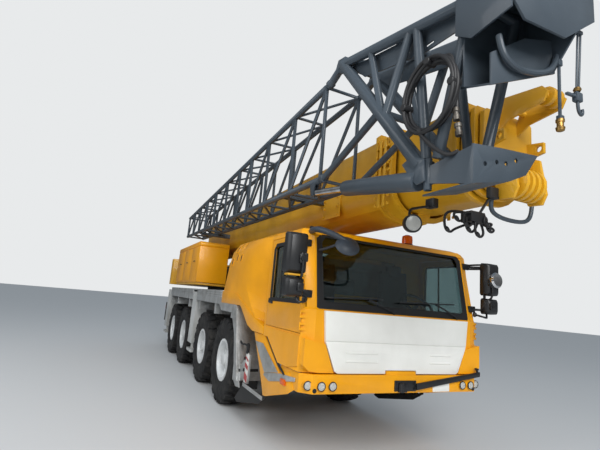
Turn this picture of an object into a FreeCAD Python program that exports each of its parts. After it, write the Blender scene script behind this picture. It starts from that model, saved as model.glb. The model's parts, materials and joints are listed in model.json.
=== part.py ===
import FreeCAD, Part
import math
import os

# A four-axle all-terrain mobile crane as it travels: boom down over the cab, outriggers in,
# lattice jib pinned along the boom's right side.
# Millimetres. x is positive to the vehicle's left, z is up from the ground, and y runs
# back from the bumper's face until the finished pieces are centred on their length.

V = FreeCAD.Vector
X_AXIS = V(1, 0, 0)
Z_AXIS = V(0, 0, 1)

# Whole vehicle
CARRIER_LENGTH = 10500.0
JIB_OVERHANG = 2400.0
WIDTH = 2550.0
HALF = WIDTH / 2
SEAT = 0.3
RUN = 0.05

# Wheels
TYRE_R = 685.0
TYRE_WIDTH = 375.0
RIM_R = 317.5
FLANGE_R = 338.0
FLANGE = 12.0
BEAD_HALF = 148.0
RIM_WALL = 17.0
HUB_R = 150.0
HUB_REACH = 150.0
HUB_IN = 60.0
SPINDLE_R = 60.0
DISC_IN = 20.0
DISC = 22.0
HAND_HOLES = 10
HAND_HOLE_R = 27.0
HAND_HOLE_CIRCLE = 228.0
LUGS = 20
LUG_ROOT_R = 657.0
TREAD_HALF = 172.0
SHOULDER_R = 650.0
SHOULDER_HALF = 165.0
BULGE_R = 500.0
BEAD_R = 358.0
WHEEL_X = HALF - TYRE_WIDTH / 2
AXLE_Z = TYRE_R
KINGPIN_IN = 127.5
KINGPIN_X = WHEEL_X - KINGPIN_IN
KINGPIN_R = 35.0
KNUCKLE_R = 60.0
KNUCKLE_HALF = 165.0
ARM = 60.0
ARM_HALF = 85.0
BRAKE_R = 158.0

# A lug and the groove after it: share of the pitch from the lug's middle, on its face or not
LUG_FORM = (
    (-0.33, False),
    (-0.27, True),
    (0.27, True),
    (0.33, False),
)

# Axle number, place behind the bumper, steered or not
AXLES = (
    (1, 3070.0, True),
    (2, 4720.0, True),
    (3, 6900.0, False),
    (4, 8550.0, False),
)
SIDES = (("right", -1), ("left", 1))

# Chassis
FRAME_HALF = 460.0
FRAME_LOW = 800.0
FRAME_TOP = 1450.0
FRAME_FRONT = 1350.0
NOSE_LOW = 760.0
NOSE_TOP = 1040.0
NOSE_HALF = 400.0
DECK_TOP = 1830.0
DECK = 30.0
RING_R = 640.0
RING_BORE = 480.0

# Outriggers: a box across the frame with two beams side by side
OUTRIGGERS = (
    ("front", 5840.0),
    ("rear", 9900.0),
)
BEAM_DEPTH = 240.0
BEAM_HEIGHT = 380.0
BEAM_WALL = 14.0
BEAM_GAP = 5.0
BOX_WALL = 25.0
BOX_FLOOR = 850.0
BOX_HALF = 1010.0
JACK_HEAD_HALF = 210.0
HEAD_GAP = 5.0
HEAD_WIDTH = 256.0
HEAD_INNER = BOX_HALF + HEAD_GAP
JACK_X = HEAD_INNER + HEAD_WIDTH / 2
PASSAGE_GAP = 8.0
JACK_R = 82.0
JACK_TOP = 1760.0
JACK_LOW = 620.0
PAD_R = 235.0
PAD_Z = 430.0
PAD = 60.0

# Driver's cab
CAB_FRONT = 60.0
CAB_REAR = 1200.0
CAB_FLOOR = 1290.0
CAB_TOP = 2620.0
CAB_WALL = 50.0
SCREEN_SILL = 1690.0
SCREEN_TOP = 2570.0
SCREEN_LOW_Y = 110.0
SCREEN_TOP_Y = 276.0
SCREEN_HALF = 1115.0
GLASS = 6.0
DOOR_FRONT = 130.0
DOOR_REAR = 1150.0
DOOR_LOW = 1430.0
DOOR_TOP = 2520.0
DOOR_GAP = 6.0
DOOR = 44.0
HINGE_OUT = 12.0
HINGE_R = 10.0
HINGE_PIN_R = 5.0
HINGE_HEIGHT = 84.0
HINGES = (DOOR_LOW + 30, DOOR_LOW + 160)
PANEL = 40.0

# Bumper
BUMPER_LOW = 840.0
BUMPER_TOP = 1030.0
BUMPER_DEPTH = 330.0
BUMPER_WALL = 60.0
MIRROR_X = 1450.0
SKIRT = 40.0

# Superstructure
SLEW_Y = 7350.0
PLATFORM_LOW = 1930.0
PLATFORM = 60.0
SIDE_PLATE = 55.0
SIDE_PLATE_IN = 505.0
PIVOT_Y = 8700.0
PIVOT_Z = 3050.0
PIVOT_R = 70.0
HOOD_FRONT = 5950.0
HOOD_REAR = 8950.0
HOOD_TOP = 2970.0
TAIL_FRONT = 9960.0
TAIL_REAR = 10480.0

# Boom: the base section, then each moving section one step smaller
BOOM_HALF = 450.0
BOOM_LOW = 2830.0
BOOM_TOP = 3790.0
BOOM_WALL = 12.0
BOOM_STEP = 42.0
BOOM_FOOT = 8950.0
BOOM_MOUTH = -280.0
FIRST_REACH = 900.0
COLLAR = 50.0
COLLAR_GAP = 20.0
COLLAR_RISE = 45.0
BASE_COLLAR = 330.0
SECTIONS = 4
JIB_PIN_R = 30.0
JIB_PIN_Z = 3360.0
JIB_PIN_OUT = 120.0

# Luffing cylinder
FOOT_Y = 7300.0
FOOT_Z = 2150.0
EYE_Y = 4300.0
EYE_Z = 2700.0
BARREL_R = 140.0
ROD_R = 85.0
EYE_PIN_R = 40.0
LUG = 40.0
EYE_HALF = 85.0

DRUM_Y = 9620.0
DRUM_Z = 2390.0
DRUM_R = 210.0
DRUM_FLANGE_R = 295.0


def outline(corners, plane):
    """A closed wire. A corner is (a, b) or (a, b, radius), set in space by plane."""
    spots = [V(*plane(corner[0], corner[1])) for corner in corners]
    edges = []
    start = None
    first = None
    count = len(corners)
    for i, corner in enumerate(corners):
        here = spots[i]
        back = (spots[i - 1] - here).normalize()
        ahead = (spots[(i + 1) % count] - here).normalize()
        if len(corner) > 2 and corner[2] > 0:
            half_angle = back.getAngle(ahead) / 2
            reach = corner[2] / math.tan(half_angle)
            middle = (back + ahead).normalize()
            centre = here + middle * (corner[2] / math.sin(half_angle))
            begin = here + back * reach
            end = here + ahead * reach
            arc = Part.Arc(begin, centre - middle * corner[2], end).toShape()
        else:
            begin = here
            end = here
            arc = None
        if start is None:
            first = begin
        elif (begin - start).Length > 1e-6:
            edges.append(Part.LineSegment(start, begin).toShape())
        if arc is not None:
            edges.append(arc)
        start = end
    if (first - start).Length > 1e-6:
        edges.append(Part.LineSegment(start, first).toShape())
    return Part.Wire(edges)


def side(corners, x0, x1):
    """A (y, z) outline drawn out from x0 to x1."""
    wire = outline(corners, lambda a, b: (x0, a, b))
    return Part.Face(wire).extrude(V(x1 - x0, 0, 0))


def front(corners, y0, y1):
    """An (x, z) outline drawn out from y0 to y1."""
    wire = outline(corners, lambda a, b: (a, y0, b))
    return Part.Face(wire).extrude(V(0, y1 - y0, 0))


def plan(corners, z0, z1):
    """An (x, y) outline drawn up from z0 to z1."""
    wire = outline(corners, lambda a, b: (a, b, z0))
    return Part.Face(wire).extrude(V(0, 0, z1 - z0))


def box(x0, x1, y0, y1, z0, z1):
    """A block between two corners, given in any order."""
    corner = V(min(x0, x1), min(y0, y1), min(z0, z1))
    return Part.makeBox(abs(x1 - x0), abs(y1 - y0), abs(z1 - z0), corner)


def rod(p, q, radius):
    """A round bar from p to q."""
    p = V(*p)
    way = V(*q) - p
    return Part.makeCylinder(radius, way.Length, p, way)


def flat_face(corners):
    """A flat face with straight edges through its corners."""
    return Part.Face(Part.makePolygon(list(corners) + [corners[0]]))


def stack(rings):
    """A solid of flat faces through rings of corners, all flat and with as many corners."""
    faces = [flat_face(rings[0]), flat_face(rings[-1])]
    for low, high in zip(rings, rings[1:]):
        for i in range(len(low)):
            j = (i + 1) % len(low)
            quad = [low[i], low[j], high[j], high[i]]
            loop = [p for n, p in enumerate(quad) if (p - quad[n - 1]).Length > 1e-6]
            if len(loop) == 3:
                faces.append(flat_face(loop))
            if len(loop) < 4:
                continue
            across = (loop[1] - loop[0]).cross(loop[2] - loop[0]).normalize()
            if abs(across.dot(loop[3] - loop[0])) < 1e-7:
                faces.append(flat_face(loop))
            else:
                faces.append(flat_face(loop[:3]))
                faces.append(flat_face([loop[0], loop[2], loop[3]]))
    shell = Part.makeShell(faces)
    shell.sewShape()
    solid = Part.makeSolid(shell)
    if solid.Volume < 0:
        solid.reverse()
    return solid


def flats(radius, sides, lean=0.5):
    """Corners of a many-sided ring as (a, b) pairs, its flats radius from the middle."""
    reach = radius / math.cos(math.pi / sides)
    turns = [2 * math.pi * (i + lean) / sides for i in range(sides)]
    return [(reach * math.cos(turn), reach * math.sin(turn)) for turn in turns]


def bar(p, q, radius, sides=8):
    """A many-sided bar from p to q, for frames where nothing turns."""
    p = V(*p)
    way = V(*q) - p
    across = way.cross(Z_AXIS)
    if across.Length < way.Length * 0.05:
        across = way.cross(X_AXIS)
    across.normalize()
    up = across.cross(way).normalize()
    ring = [p + across * a + up * b for a, b in flats(radius * 0.97, sides)]
    return flat_face(ring).extrude(way)


def plate(corners, thickness):
    """A sheet of that thickness standing on a flat loop of corners."""
    spots = [V(*corner) for corner in corners]
    across = (spots[1] - spots[0]).cross(spots[2] - spots[0]).normalize()
    return flat_face(spots).extrude(across * thickness)


def fuse(shapes):
    """One solid from touching or crossing shapes."""
    whole = shapes[0].multiFuse(shapes[1:])
    return whole.removeSplitter()


def mirrored(shape):
    """The same piece on the other side of the vehicle."""
    return shape.mirror(V(0, 0, 0), X_AXIS)


def both(shape):
    """A right-hand shape and its mirror image."""
    return [shape, mirrored(shape)]


def wheel_ring(sign, axle_y, outward, corners):
    """Corners about a wheel's axis, at that distance outward from its middle."""
    x = sign * (WHEEL_X + outward)
    return [V(x, axle_y + a, AXLE_Z + b) for a, b in corners]


def drum_form(sign, axle_y, steps, sides=LUGS):
    """A many-sided solid about a wheel's axis, its corners under the lugs' middles."""
    return stack([wheel_ring(sign, axle_y, outward, flats(radius, sides, 0))
                  for radius, outward in steps])


def keep(name, shape):
    """Centre the piece on the vehicle's length and write it."""
    shape = shape.copy()
    shape.translate(V(0, -(CARRIER_LENGTH - JIB_OVERHANG) / 2, 0))
    shape.exportStep("parts/" + name + ".step")


def tread_band(sign, axle_y):
    """The lugged band. The lugs' flat faces stand on the tyre's radius, one at the ground."""
    pitch = 2 * math.pi / LUGS
    lug_half = max(share for share, on_face in LUG_FORM if on_face)
    tip = TYRE_R / math.cos(lug_half * pitch)
    corners = []
    for i in range(LUGS):
        for share, on_face in LUG_FORM:
            turn = (i + share) * pitch
            radius = tip if on_face else LUG_ROOT_R
            corners.append((radius * math.cos(turn), radius * math.sin(turn)))
    near = flat_face(wheel_ring(sign, axle_y, -TREAD_HALF, corners))
    return near.extrude(V(sign * 2 * TREAD_HALF, 0, 0))


def tyre(sign, axle_y):
    half = TYRE_WIDTH / 2
    bead_half = BEAD_HALF - SEAT
    body = drum_form(sign, axle_y, (
        (BEAD_R, -bead_half),
        (BULGE_R, -half),
        (SHOULDER_R, -SHOULDER_HALF),
        (SHOULDER_R, SHOULDER_HALF),
        (BULGE_R, half),
        (BEAD_R, bead_half),
    ))
    band = tread_band(sign, axle_y)
    hollow = SHOULDER_R - 5
    band = band.cut(drum_form(sign, axle_y, ((hollow, -half), (hollow, half))))
    bore = drum_form(sign, axle_y, ((RIM_R + SEAT, -half), (RIM_R + SEAT, half)))
    return fuse([body, band]).cut(bore)


def rim(sign, axle_y):
    well = RIM_R - RIM_WALL
    edge = BEAD_HALF + FLANGE
    face = DISC_IN + DISC
    barrel = drum_form(sign, axle_y, (
        (FLANGE_R, -edge),
        (FLANGE_R, -BEAD_HALF),
        (RIM_R, -BEAD_HALF),
        (RIM_R, BEAD_HALF),
        (FLANGE_R, BEAD_HALF),
        (FLANGE_R, edge),
    ))
    hub = drum_form(sign, axle_y, (
        (HUB_R, -HUB_IN),
        (HUB_R, DISC_IN + 5),
        (HUB_R + 25, DISC_IN + 5),
        (HUB_R + 25, face),
        (HUB_R, HUB_REACH * 0.6),
        (HUB_R * 0.68, HUB_REACH * 0.78),
        (HUB_R * 0.6, HUB_REACH),
    ))
    inside = drum_form(sign, axle_y, ((well, -edge - 1), (well, DISC_IN)))
    outside = drum_form(sign, axle_y, ((well, face), (well, edge + 1)))
    holes = []
    for i in range(HAND_HOLES):
        turn = 2 * math.pi * i / HAND_HOLES
        y = axle_y + HAND_HOLE_CIRCLE * math.cos(turn)
        z = AXLE_Z + HAND_HOLE_CIRCLE * math.sin(turn)
        near = sign * WHEEL_X
        holes.append(bar((near, y, z), (near + sign * HUB_REACH, y, z), HAND_HOLE_R, 6))
    wheel = fuse([barrel.cut([inside, outside]), hub]).cut(holes)
    bore_in = sign * (WHEEL_X - HUB_IN - 1)
    bore_out = sign * (WHEEL_X + HUB_IN)
    return wheel.cut(rod((bore_in, axle_y, AXLE_Z), (bore_out, axle_y, AXLE_Z), SPINDLE_R))


def spindle(sign, axle_y):
    """The brake and the spindle that carries the hub, beside the kingpin."""
    inner = sign * KINGPIN_X
    brake = sign * (WHEEL_X - HUB_IN - 4)
    tip = sign * (WHEEL_X + HUB_IN - 10)
    return [
        bar((inner, axle_y, AXLE_Z), (brake, axle_y, AXLE_Z), BRAKE_R * 0.62, 12),
        bar((brake - sign * 30, axle_y, AXLE_Z), (brake, axle_y, AXLE_Z), BRAKE_R, 16),
        rod((inner, axle_y, AXLE_Z), (tip, axle_y, AXLE_Z), SPINDLE_R - RUN),
    ]


def knuckle(sign, axle_y):
    x = sign * KINGPIN_X
    low = AXLE_Z - KNUCKLE_HALF
    high = AXLE_Z + KNUCKLE_HALF
    pin_reach = KNUCKLE_HALF + ARM + 6
    boss = bar((x, axle_y, low), (x, axle_y, high), KNUCKLE_R, 12)
    pin = rod((x, axle_y, AXLE_Z - pin_reach), (x, axle_y, AXLE_Z + pin_reach), KINGPIN_R)
    lever = box(x - 25, x + 25, axle_y, axle_y + 190, low + 20, low + 60)
    return fuse([boss, pin, lever] + spindle(sign, axle_y))


def suspension():
    """Upper and lower arms at each axle; the steered ones end in kingpin eyes."""
    solids = []
    for _, axle_y, steered in AXLES:
        for _, sign in SIDES:
            root = sign * FRAME_HALF
            tip = sign * KINGPIN_X
            pieces = []
            for up in (-1, 1):
                near = AXLE_Z + up * (KNUCKLE_HALF + SEAT)
                far = AXLE_Z + up * (KNUCKLE_HALF + SEAT + ARM)
                pieces.append(box(root, tip, axle_y - ARM_HALF, axle_y + ARM_HALF, near, far))
                pieces.append(bar((tip, axle_y, near), (tip, axle_y, far), ARM_HALF, 12))
            if steered:
                pin = rod((tip, axle_y, 0), (tip, axle_y, 2 * AXLE_Z), KINGPIN_R + RUN)
                pieces.append(box(root, root + sign * 60, axle_y - ARM_HALF, axle_y + ARM_HALF,
                                  AXLE_Z - KNUCKLE_HALF - ARM, FRAME_LOW + 200))
                solids.append(fuse(pieces).cut(pin))
            else:
                pieces.append(bar((tip, axle_y, AXLE_Z - KNUCKLE_HALF - ARM),
                                  (tip, axle_y, AXLE_Z + KNUCKLE_HALF + ARM), KNUCKLE_R, 12))
                pieces.append(box(root, root + sign * 60, axle_y - ARM_HALF, axle_y + ARM_HALF,
                                  AXLE_Z - KNUCKLE_HALF - ARM, FRAME_LOW + 200))
                solids.append(fuse(pieces + spindle(sign, axle_y)))
    return Part.makeCompound(solids)


def outrigger_box(centre_y):
    """The tunnels for the two beams, closed at neither end."""
    lane = BEAM_DEPTH + 2 * BEAM_GAP
    high = BOX_FLOOR + BEAM_HEIGHT + SEAT + BEAM_GAP
    half_y = lane + 1.5 * BOX_WALL
    outer = box(-BOX_HALF, BOX_HALF, centre_y - half_y, centre_y + half_y,
                BOX_FLOOR - BOX_WALL, high + BOX_WALL)
    tunnels = []
    for sign in (-1, 1):
        middle = centre_y + sign * (lane + BOX_WALL) / 2
        tunnels.append(box(-BOX_HALF, BOX_HALF, middle - lane / 2, middle + lane / 2,
                           BOX_FLOOR, high))
    return outer, tunnels


def chassis():
    girder = box(-FRAME_HALF, FRAME_HALF, FRAME_FRONT, CARRIER_LENGTH - 120,
                 FRAME_LOW, FRAME_TOP)
    nose = side(((BUMPER_DEPTH, NOSE_LOW), (BUMPER_DEPTH, NOSE_TOP), (FRAME_FRONT, NOSE_TOP),
                 (FRAME_FRONT + 300, FRAME_TOP), (FRAME_FRONT + 300, FRAME_LOW),
                 (FRAME_FRONT, NOSE_LOW)), -NOSE_HALF, NOSE_HALF)
    seat = rod((0, SLEW_Y, FRAME_TOP), (0, SLEW_Y, PLATFORM_LOW - SEAT), RING_R)
    well = rod((0, SLEW_Y, FRAME_TOP), (0, SLEW_Y, PLATFORM_LOW), RING_BORE)
    tail = box(-HALF + 25, HALF - 25, CARRIER_LENGTH - 120, CARRIER_LENGTH, 760, 1330)
    pieces = [girder, nose, seat, tail]
    tunnels = []
    for _, centre_y in OUTRIGGERS:
        outer, lanes = outrigger_box(centre_y)
        pieces.append(outer)
        tunnels += lanes
    return fuse(pieces).cut(tunnels + [well])


def beam(sign, centre_y):
    """A sliding beam and the head that its jack stands in. The right one runs in front."""
    lane = BEAM_DEPTH + 2 * BEAM_GAP
    middle = centre_y + sign * (lane + BOX_WALL) / 2
    low = BOX_FLOOR + SEAT
    root = -sign * (BOX_HALF - 60)
    tip = sign * (BOX_HALF + 20)
    arm = box(root, tip, middle - BEAM_DEPTH / 2, middle + BEAM_DEPTH / 2, low,
              low + BEAM_HEIGHT)
    hollow = box(root, tip - sign * 30, middle - BEAM_DEPTH / 2 + BEAM_WALL,
                 middle + BEAM_DEPTH / 2 - BEAM_WALL, low + BEAM_WALL,
                 low + BEAM_HEIGHT - BEAM_WALL)
    inner = sign * HEAD_INNER
    outer = sign * (HEAD_INNER + HEAD_WIDTH)
    head = box(inner, outer, centre_y - JACK_HEAD_HALF, centre_y + JACK_HEAD_HALF, JACK_LOW,
               JACK_TOP - 90)
    cap = box(inner, outer, centre_y - 170, centre_y + 170, JACK_TOP - 90, JACK_TOP)
    bore_x = sign * JACK_X
    bore = rod((bore_x, centre_y, JACK_LOW - 1), (bore_x, centre_y, JACK_TOP - 60),
               JACK_R + RUN)
    return fuse([arm, head, cap]).cut([hollow, bore])


def jack(sign, centre_y):
    x = sign * JACK_X
    post = rod((x, centre_y, PAD_Z + PAD), (x, centre_y, JACK_TOP - 65), JACK_R)
    foot_half = HEAD_WIDTH / 2 - 2
    foot = box(x - foot_half, x + foot_half, centre_y - PAD_R, centre_y + PAD_R,
               PAD_Z, PAD_Z + PAD)
    return fuse([post, foot])


CORNER_IN = 140.0
CORNER_BACK = 64.0
CAB_FOOT_REAR = 600.0

# The cab's levels from its floor: height, front, half width
CAB_LEVELS = (
    (CAB_FLOOR, CAB_FRONT, HALF),
    (SCREEN_SILL, CAB_FRONT, HALF),
    (SCREEN_SILL + 22, SCREEN_LOW_Y - 20, HALF),
    (CAB_TOP - 80, SCREEN_TOP_Y - 28, HALF),
    (CAB_TOP - 25, SCREEN_TOP_Y + 9, HALF - 30),
    (CAB_TOP, SCREEN_TOP_Y + 74, HALF - 85),
)


def cab_ring(z, front_y, half, inset):
    """One level of the cab, its front corners cut off, drawn in by inset."""
    half = half - inset
    front_y = front_y + inset
    rear = CAB_REAR - inset
    corner = half - CORNER_IN
    return [V(-half, rear, z), V(-half, front_y + CORNER_BACK, z), V(-corner, front_y, z),
            V(corner, front_y, z), V(half, front_y + CORNER_BACK, z), V(half, rear, z)]


def cab_form(inset):
    rings = []
    for level, (z, front_y, half) in enumerate(CAB_LEVELS):
        if level == 0:
            z = z + inset
        if level == len(CAB_LEVELS) - 1:
            z = z - inset
        rings.append(cab_ring(z, front_y, half, inset))
    return stack(rings)


def door_profile(grow):
    return (
        (DOOR_FRONT - grow, DOOR_LOW - grow),
        (DOOR_FRONT - grow, SCREEN_SILL),
        (DOOR_FRONT + 190 - grow, DOOR_TOP + grow),
        (DOOR_REAR + grow, DOOR_TOP + grow),
        (DOOR_REAR + grow, DOOR_LOW - grow),
    )


def hinge(sign, door_y, z):
    """A hinge on the skin: the fixed ears with their pin, and the door's knuckle."""
    x = sign * (HALF + HINGE_OUT)
    y = door_y - DOOR_GAP / 2
    step = HINGE_HEIGHT / 3
    skin = sign * (HALF - 60)
    ears = [rod((x, y, z), (x, y, z + HINGE_HEIGHT), HINGE_PIN_R)]
    for low in (z, z + 2 * step):
        ears.append(rod((x, y, low), (x, y, low + step), HINGE_R))
        ears.append(box(skin, x, y - 28, door_y - DOOR_GAP, low, low + step))
    low = z + step + 1
    high = z + 2 * step - 1
    knuckle = fuse([rod((x, y, low), (x, y, high), HINGE_R),
                    box(skin, x, door_y, y + 34, low, high)])
    return ears, knuckle.cut(rod((x, y, z), (x, y, z + HINGE_HEIGHT), HINGE_PIN_R + RUN))


def door_window(grow):
    sill = DOOR_LOW + 330
    high = DOOR_TOP - 80
    rear = DOOR_REAR - 90
    return (
        (DOOR_FRONT + 100 - grow, sill - grow),
        (DOOR_FRONT + 240 - grow, high + grow),
        (rear - 40, high + grow),
        (rear + grow, high - 40),
        (rear + grow, sill - grow),
    )


def screen_outline(inset):
    half = SCREEN_HALF - inset
    low = SCREEN_SILL + 40 + inset
    high = SCREEN_TOP - 30 - inset
    cut = 50
    return ((-half, low + cut), (-half + 20, high - cut), (-half + 20 + cut, high),
            (half - 20 - cut, high), (half - 20, high - cut), (half, low + cut),
            (half - cut, low), (-half + cut, low))


# The side panel below the door stands a little proud: outline as (y, z)
SIDE_PANEL = (
    (CAB_FRONT + CORNER_BACK, 1400),
    (1130, 1408),
    (1125, 1352),
    (640, 1045),
    (400, 1040),
    (CAB_FRONT + CORNER_BACK, 1095),
)
SIDE_PANEL_OUT = 9.0

# The corner piece beside the front panel: outline as (x, z)
CORNER_PIECE = (
    (1012, 1338),
    (1262, 1388),
    (1262, 1120),
    (1195, 1062),
    (1080, 1045),
    (895, 1045),
)

# How far the lip over the windscreen stands out
ROOF_LIP = 26.0


def cab_shell():
    low = NOSE_TOP + SEAT
    foot_rings = []
    for z, front_y in ((low, CAB_FRONT), (CAB_FLOOR + 1, CAB_FRONT)):
        ring = cab_ring(z, front_y, HALF, 0)
        ring[0].y = CAB_FOOT_REAR
        ring[-1].y = CAB_FOOT_REAR
        foot_rings.append(ring)
    inner = cab_form(CAB_WALL)
    openings = [
        side(door_profile(DOOR_GAP), -HALF - 20, -HALF + CAB_WALL + 10),
        side(door_profile(DOOR_GAP), HALF + 20, HALF - CAB_WALL - 10),
        front(screen_outline(0), -50, SCREEN_TOP_Y + 60),
        box(-750, 750, CAB_REAR - CAB_WALL - 10, CAB_REAR + 10, 1900, 2450),
    ]
    trims = both(side(SIDE_PANEL, -HALF + 2, -HALF - SIDE_PANEL_OUT))
    trims += both(front([(-x, z) for x, z in CORNER_PIECE], CAB_FRONT - PANEL + 6,
                        CAB_FRONT + 100))
    lip_y = SCREEN_TOP_Y - 28
    lip = side(((lip_y - ROOF_LIP, CAB_TOP - 92), (lip_y + 40, CAB_TOP - 22),
                (lip_y + 60, CAB_TOP - 92)), -HALF + CORNER_IN, HALF - CORNER_IN)
    ears = []
    for z in HINGES:
        for _, sign in SIDES:
            ears += hinge(sign, DOOR_FRONT, z)[0]
    body = fuse([cab_form(0), stack(foot_rings), lip] + trims)
    return fuse([body.cut([inner] + openings)] + ears)


def cab_glass():
    """The windscreen, leaning with the cab's front, and the pane in its rear wall."""
    low_z = SCREEN_SILL + 22
    high_z = CAB_TOP - 80
    lean = (SCREEN_TOP_Y - 28 - (SCREEN_LOW_Y - 20)) / (high_z - low_z)
    low = SCREEN_LOW_Y - 2
    high = low + lean * (CAB_TOP - low_z)
    slab = side(((low, low_z), (low + GLASS, low_z), (high + GLASS, CAB_TOP),
                 (high, CAB_TOP)), -HALF, HALF)
    pane = slab.common(front(screen_outline(SEAT), -50, SCREEN_TOP_Y + 60))
    rear = box(-750 + SEAT, 750 - SEAT, CAB_REAR - 25, CAB_REAR - 25 + GLASS,
               1900 + SEAT, 2450 - SEAT)
    return Part.makeCompound([pane, rear])


def cab_door(sign):
    skin = side(door_profile(0), sign * (HALF - DOOR), sign * HALF)
    skin = skin.cut(side(door_window(0), sign * (HALF - DOOR - 5), sign * (HALF + 5)))
    return fuse([skin] + [hinge(sign, DOOR_FRONT, z)[1] for z in HINGES])


def cab_door_glass(sign):
    middle = HALF - DOOR / 2
    return side(door_window(-SEAT), sign * (middle - GLASS / 2), sign * (middle + GLASS / 2))


def cab_interior():
    floor_z = CAB_FLOOR + CAB_WALL
    inner = HALF - CAB_WALL - 8
    pieces = [
        box(-inner, inner, CAB_FRONT + CAB_WALL + CORNER_BACK + 5, CAB_REAR - CAB_WALL - 5,
            floor_z + SEAT, floor_z + 30),
        side(((CAB_FRONT + CAB_WALL + 5, floor_z + 10), (CAB_FRONT + CAB_WALL + 5, SCREEN_SILL - 40),
              (330, SCREEN_SILL - 10), (420, 1560), (300, floor_z + 10)),
             -inner + CORNER_IN, inner - CORNER_IN),
    ]
    for x in (-620, 620):
        pieces.append(box(x - 220, x + 220, 640, 1080, floor_z + 10, 1560))
        pieces.append(box(x - 230, x + 230, 600, 1090, 1550, 1680))
        pieces.append(side(((960, 1600), (1000, 2300, 40), (1090, 2300, 40), (1090, 1600)),
                           x - 220, x + 220))
    rim_out = [V(a, b, -13) for a, b in flats(224, 16)]
    rim_in = [V(a, b, -14) for a, b in flats(196, 16)]
    wheel = flat_face(rim_out).extrude(V(0, 0, 26)).cut(flat_face(rim_in).extrude(V(0, 0, 28)))
    spoke = box(-205, 205, -18, 18, -8, 8)
    column = bar((0, 0, 0), (0, 0, -330), 28)
    for piece in (wheel, spoke, column):
        piece.rotate(V(0, 0, 0), X_AXIS, 35)
        piece.translate(V(620, 500, 1850))
        pieces.append(piece)
    return fuse(pieces)


# Half of the front panel's outline, from the foot: (x, z)
PANEL_EDGE = (
    (845, BUMPER_TOP + 10),
    (885, BUMPER_TOP + 30),
    (1005, 1340),
    (1015, 1370),
    (1045, SCREEN_SILL - 4),
)
PANEL_SEAM = 1370.0
RIBS_Z = (1255.0, 1165.0)
RIB_SPANS = ((-760.0, -330.0), (420.0, 760.0))


def front_panel():
    """The white panel: a seam across it, two pressed ribs each side and a notch at its foot."""
    right = [(-x, z) for x, z in PANEL_EDGE]
    left = [(x, z) for x, z in reversed(PANEL_EDGE)]
    skin_y = CAB_FRONT - SEAT - PANEL
    panel = front(right + left, skin_y, CAB_FRONT - SEAT)
    seam = box(-HALF, HALF, skin_y - 1, skin_y + 8, PANEL_SEAM - 3, PANEL_SEAM + 3)
    notch = front(((-232, 0), (-222, 1078), (222, 1078), (232, 0)), skin_y - 1, CAB_FRONT)
    ribs = []
    for z in RIBS_Z:
        for x0, x1 in RIB_SPANS:
            ribs.append(stack([[V(x0, skin_y + 2, z - 15), V(x1, skin_y + 2, z - 15),
                                V(x1, skin_y + 2, z + 15), V(x0, skin_y + 2, z + 15)],
                               [V(x0 + 10, skin_y - 9, z - 5), V(x1 - 10, skin_y - 9, z - 5),
                                V(x1 - 10, skin_y - 9, z + 5), V(x0 + 10, skin_y - 9, z + 5)]]))
    return fuse([panel.cut([seam, notch])] + ribs)


# The step unit behind the bumper's end, seen from the side: (y, z)
STEP_UNIT = (
    (BUMPER_DEPTH, BUMPER_LOW),
    (BUMPER_DEPTH, BUMPER_TOP),
    (430, 1010),
    (560, 925),
    (1185, CAB_FLOOR - SEAT),
    (1585, CAB_FLOOR - SEAT),
    (1255, 870),
    (1060, 590),
    (975, 600),
    (860, 790),
    (550, BUMPER_LOW - 10),
)
STEP_PLATE = ((1500, 1198), (1180, 1200), (615, 930), (1045, 842))
LAMPS_X = (1190.0, 1055.0, 920.0)
LAMP_Z = 920.0
LAMP_R = 46.0
NOTCH_HALF = 215.0


def bumper():
    """A pressed beam with cut corners and three round lamps each side, and the step units."""
    out = HALF - 15
    outer = plan(((-out, 110), (-out + 115, 0), (out - 115, 0), (out, 110),
                  (out, BUMPER_DEPTH + 250), (-out, BUMPER_DEPTH + 250)), BUMPER_LOW, BUMPER_TOP)
    wall_x = out - BUMPER_WALL
    inner = plan(((-wall_x, 130), (-wall_x + 75, BUMPER_WALL), (wall_x - 75, BUMPER_WALL),
                  (wall_x, 130), (wall_x, BUMPER_DEPTH + 260), (-wall_x, BUMPER_DEPTH + 260)),
                 BUMPER_LOW - 5, BUMPER_TOP - 20)
    nose = box(-NOSE_HALF - SEAT, NOSE_HALF + SEAT, BUMPER_DEPTH - SEAT, CAB_REAR, 0, CAB_TOP)
    shell = outer.cut([inner, nose])
    web = box(-NOSE_HALF, NOSE_HALF, BUMPER_WALL - 5, BUMPER_DEPTH - SEAT, BUMPER_LOW + 20,
              BUMPER_TOP - 10)
    crown = front(((-NOTCH_HALF, BUMPER_TOP - 5), (-NOTCH_HALF + 10, 1070),
                   (NOTCH_HALF - 10, 1070), (NOTCH_HALF, BUMPER_TOP - 5)), 12, 58)
    units = side(STEP_UNIT, -out, -out + SKIRT)
    treads = side(STEP_PLATE, -out - 6, -out + 5)
    shelves = []
    for y, z in ((640, 918), (860, 862)):
        shelves.append(box(-out + 5, -out + 260, y - 130, y + 130, z, z + 22))
    lamps = []
    for x in LAMPS_X:
        y0 = 6 if x < out - 115 else 6 + (x - out + 115) * 110 / 115
        lamps.append(bar((-x, y0 - 12, LAMP_Z), (-x, 70, LAMP_Z), LAMP_R, 12))
    arm = box(-40, 290, -8, 10, LAMP_Z - 60, LAMP_Z + 30)
    rail = plate(((250, -8, 880), (1205, -8, 1030), (1205, -8, 1068), (250, -8, 935)), -26)
    return fuse([shell, web, crown, arm, rail] + both(units) + both(treads)
                + both(fuse(shelves)) + both(fuse(lamps)))


FENDER_TOP = 1612.0
DECK_FRONT = 3445.0
DECK_REAR = 9500.0
FENDER_NOSE = ((2110, 540), (2509, FENDER_TOP))


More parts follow.
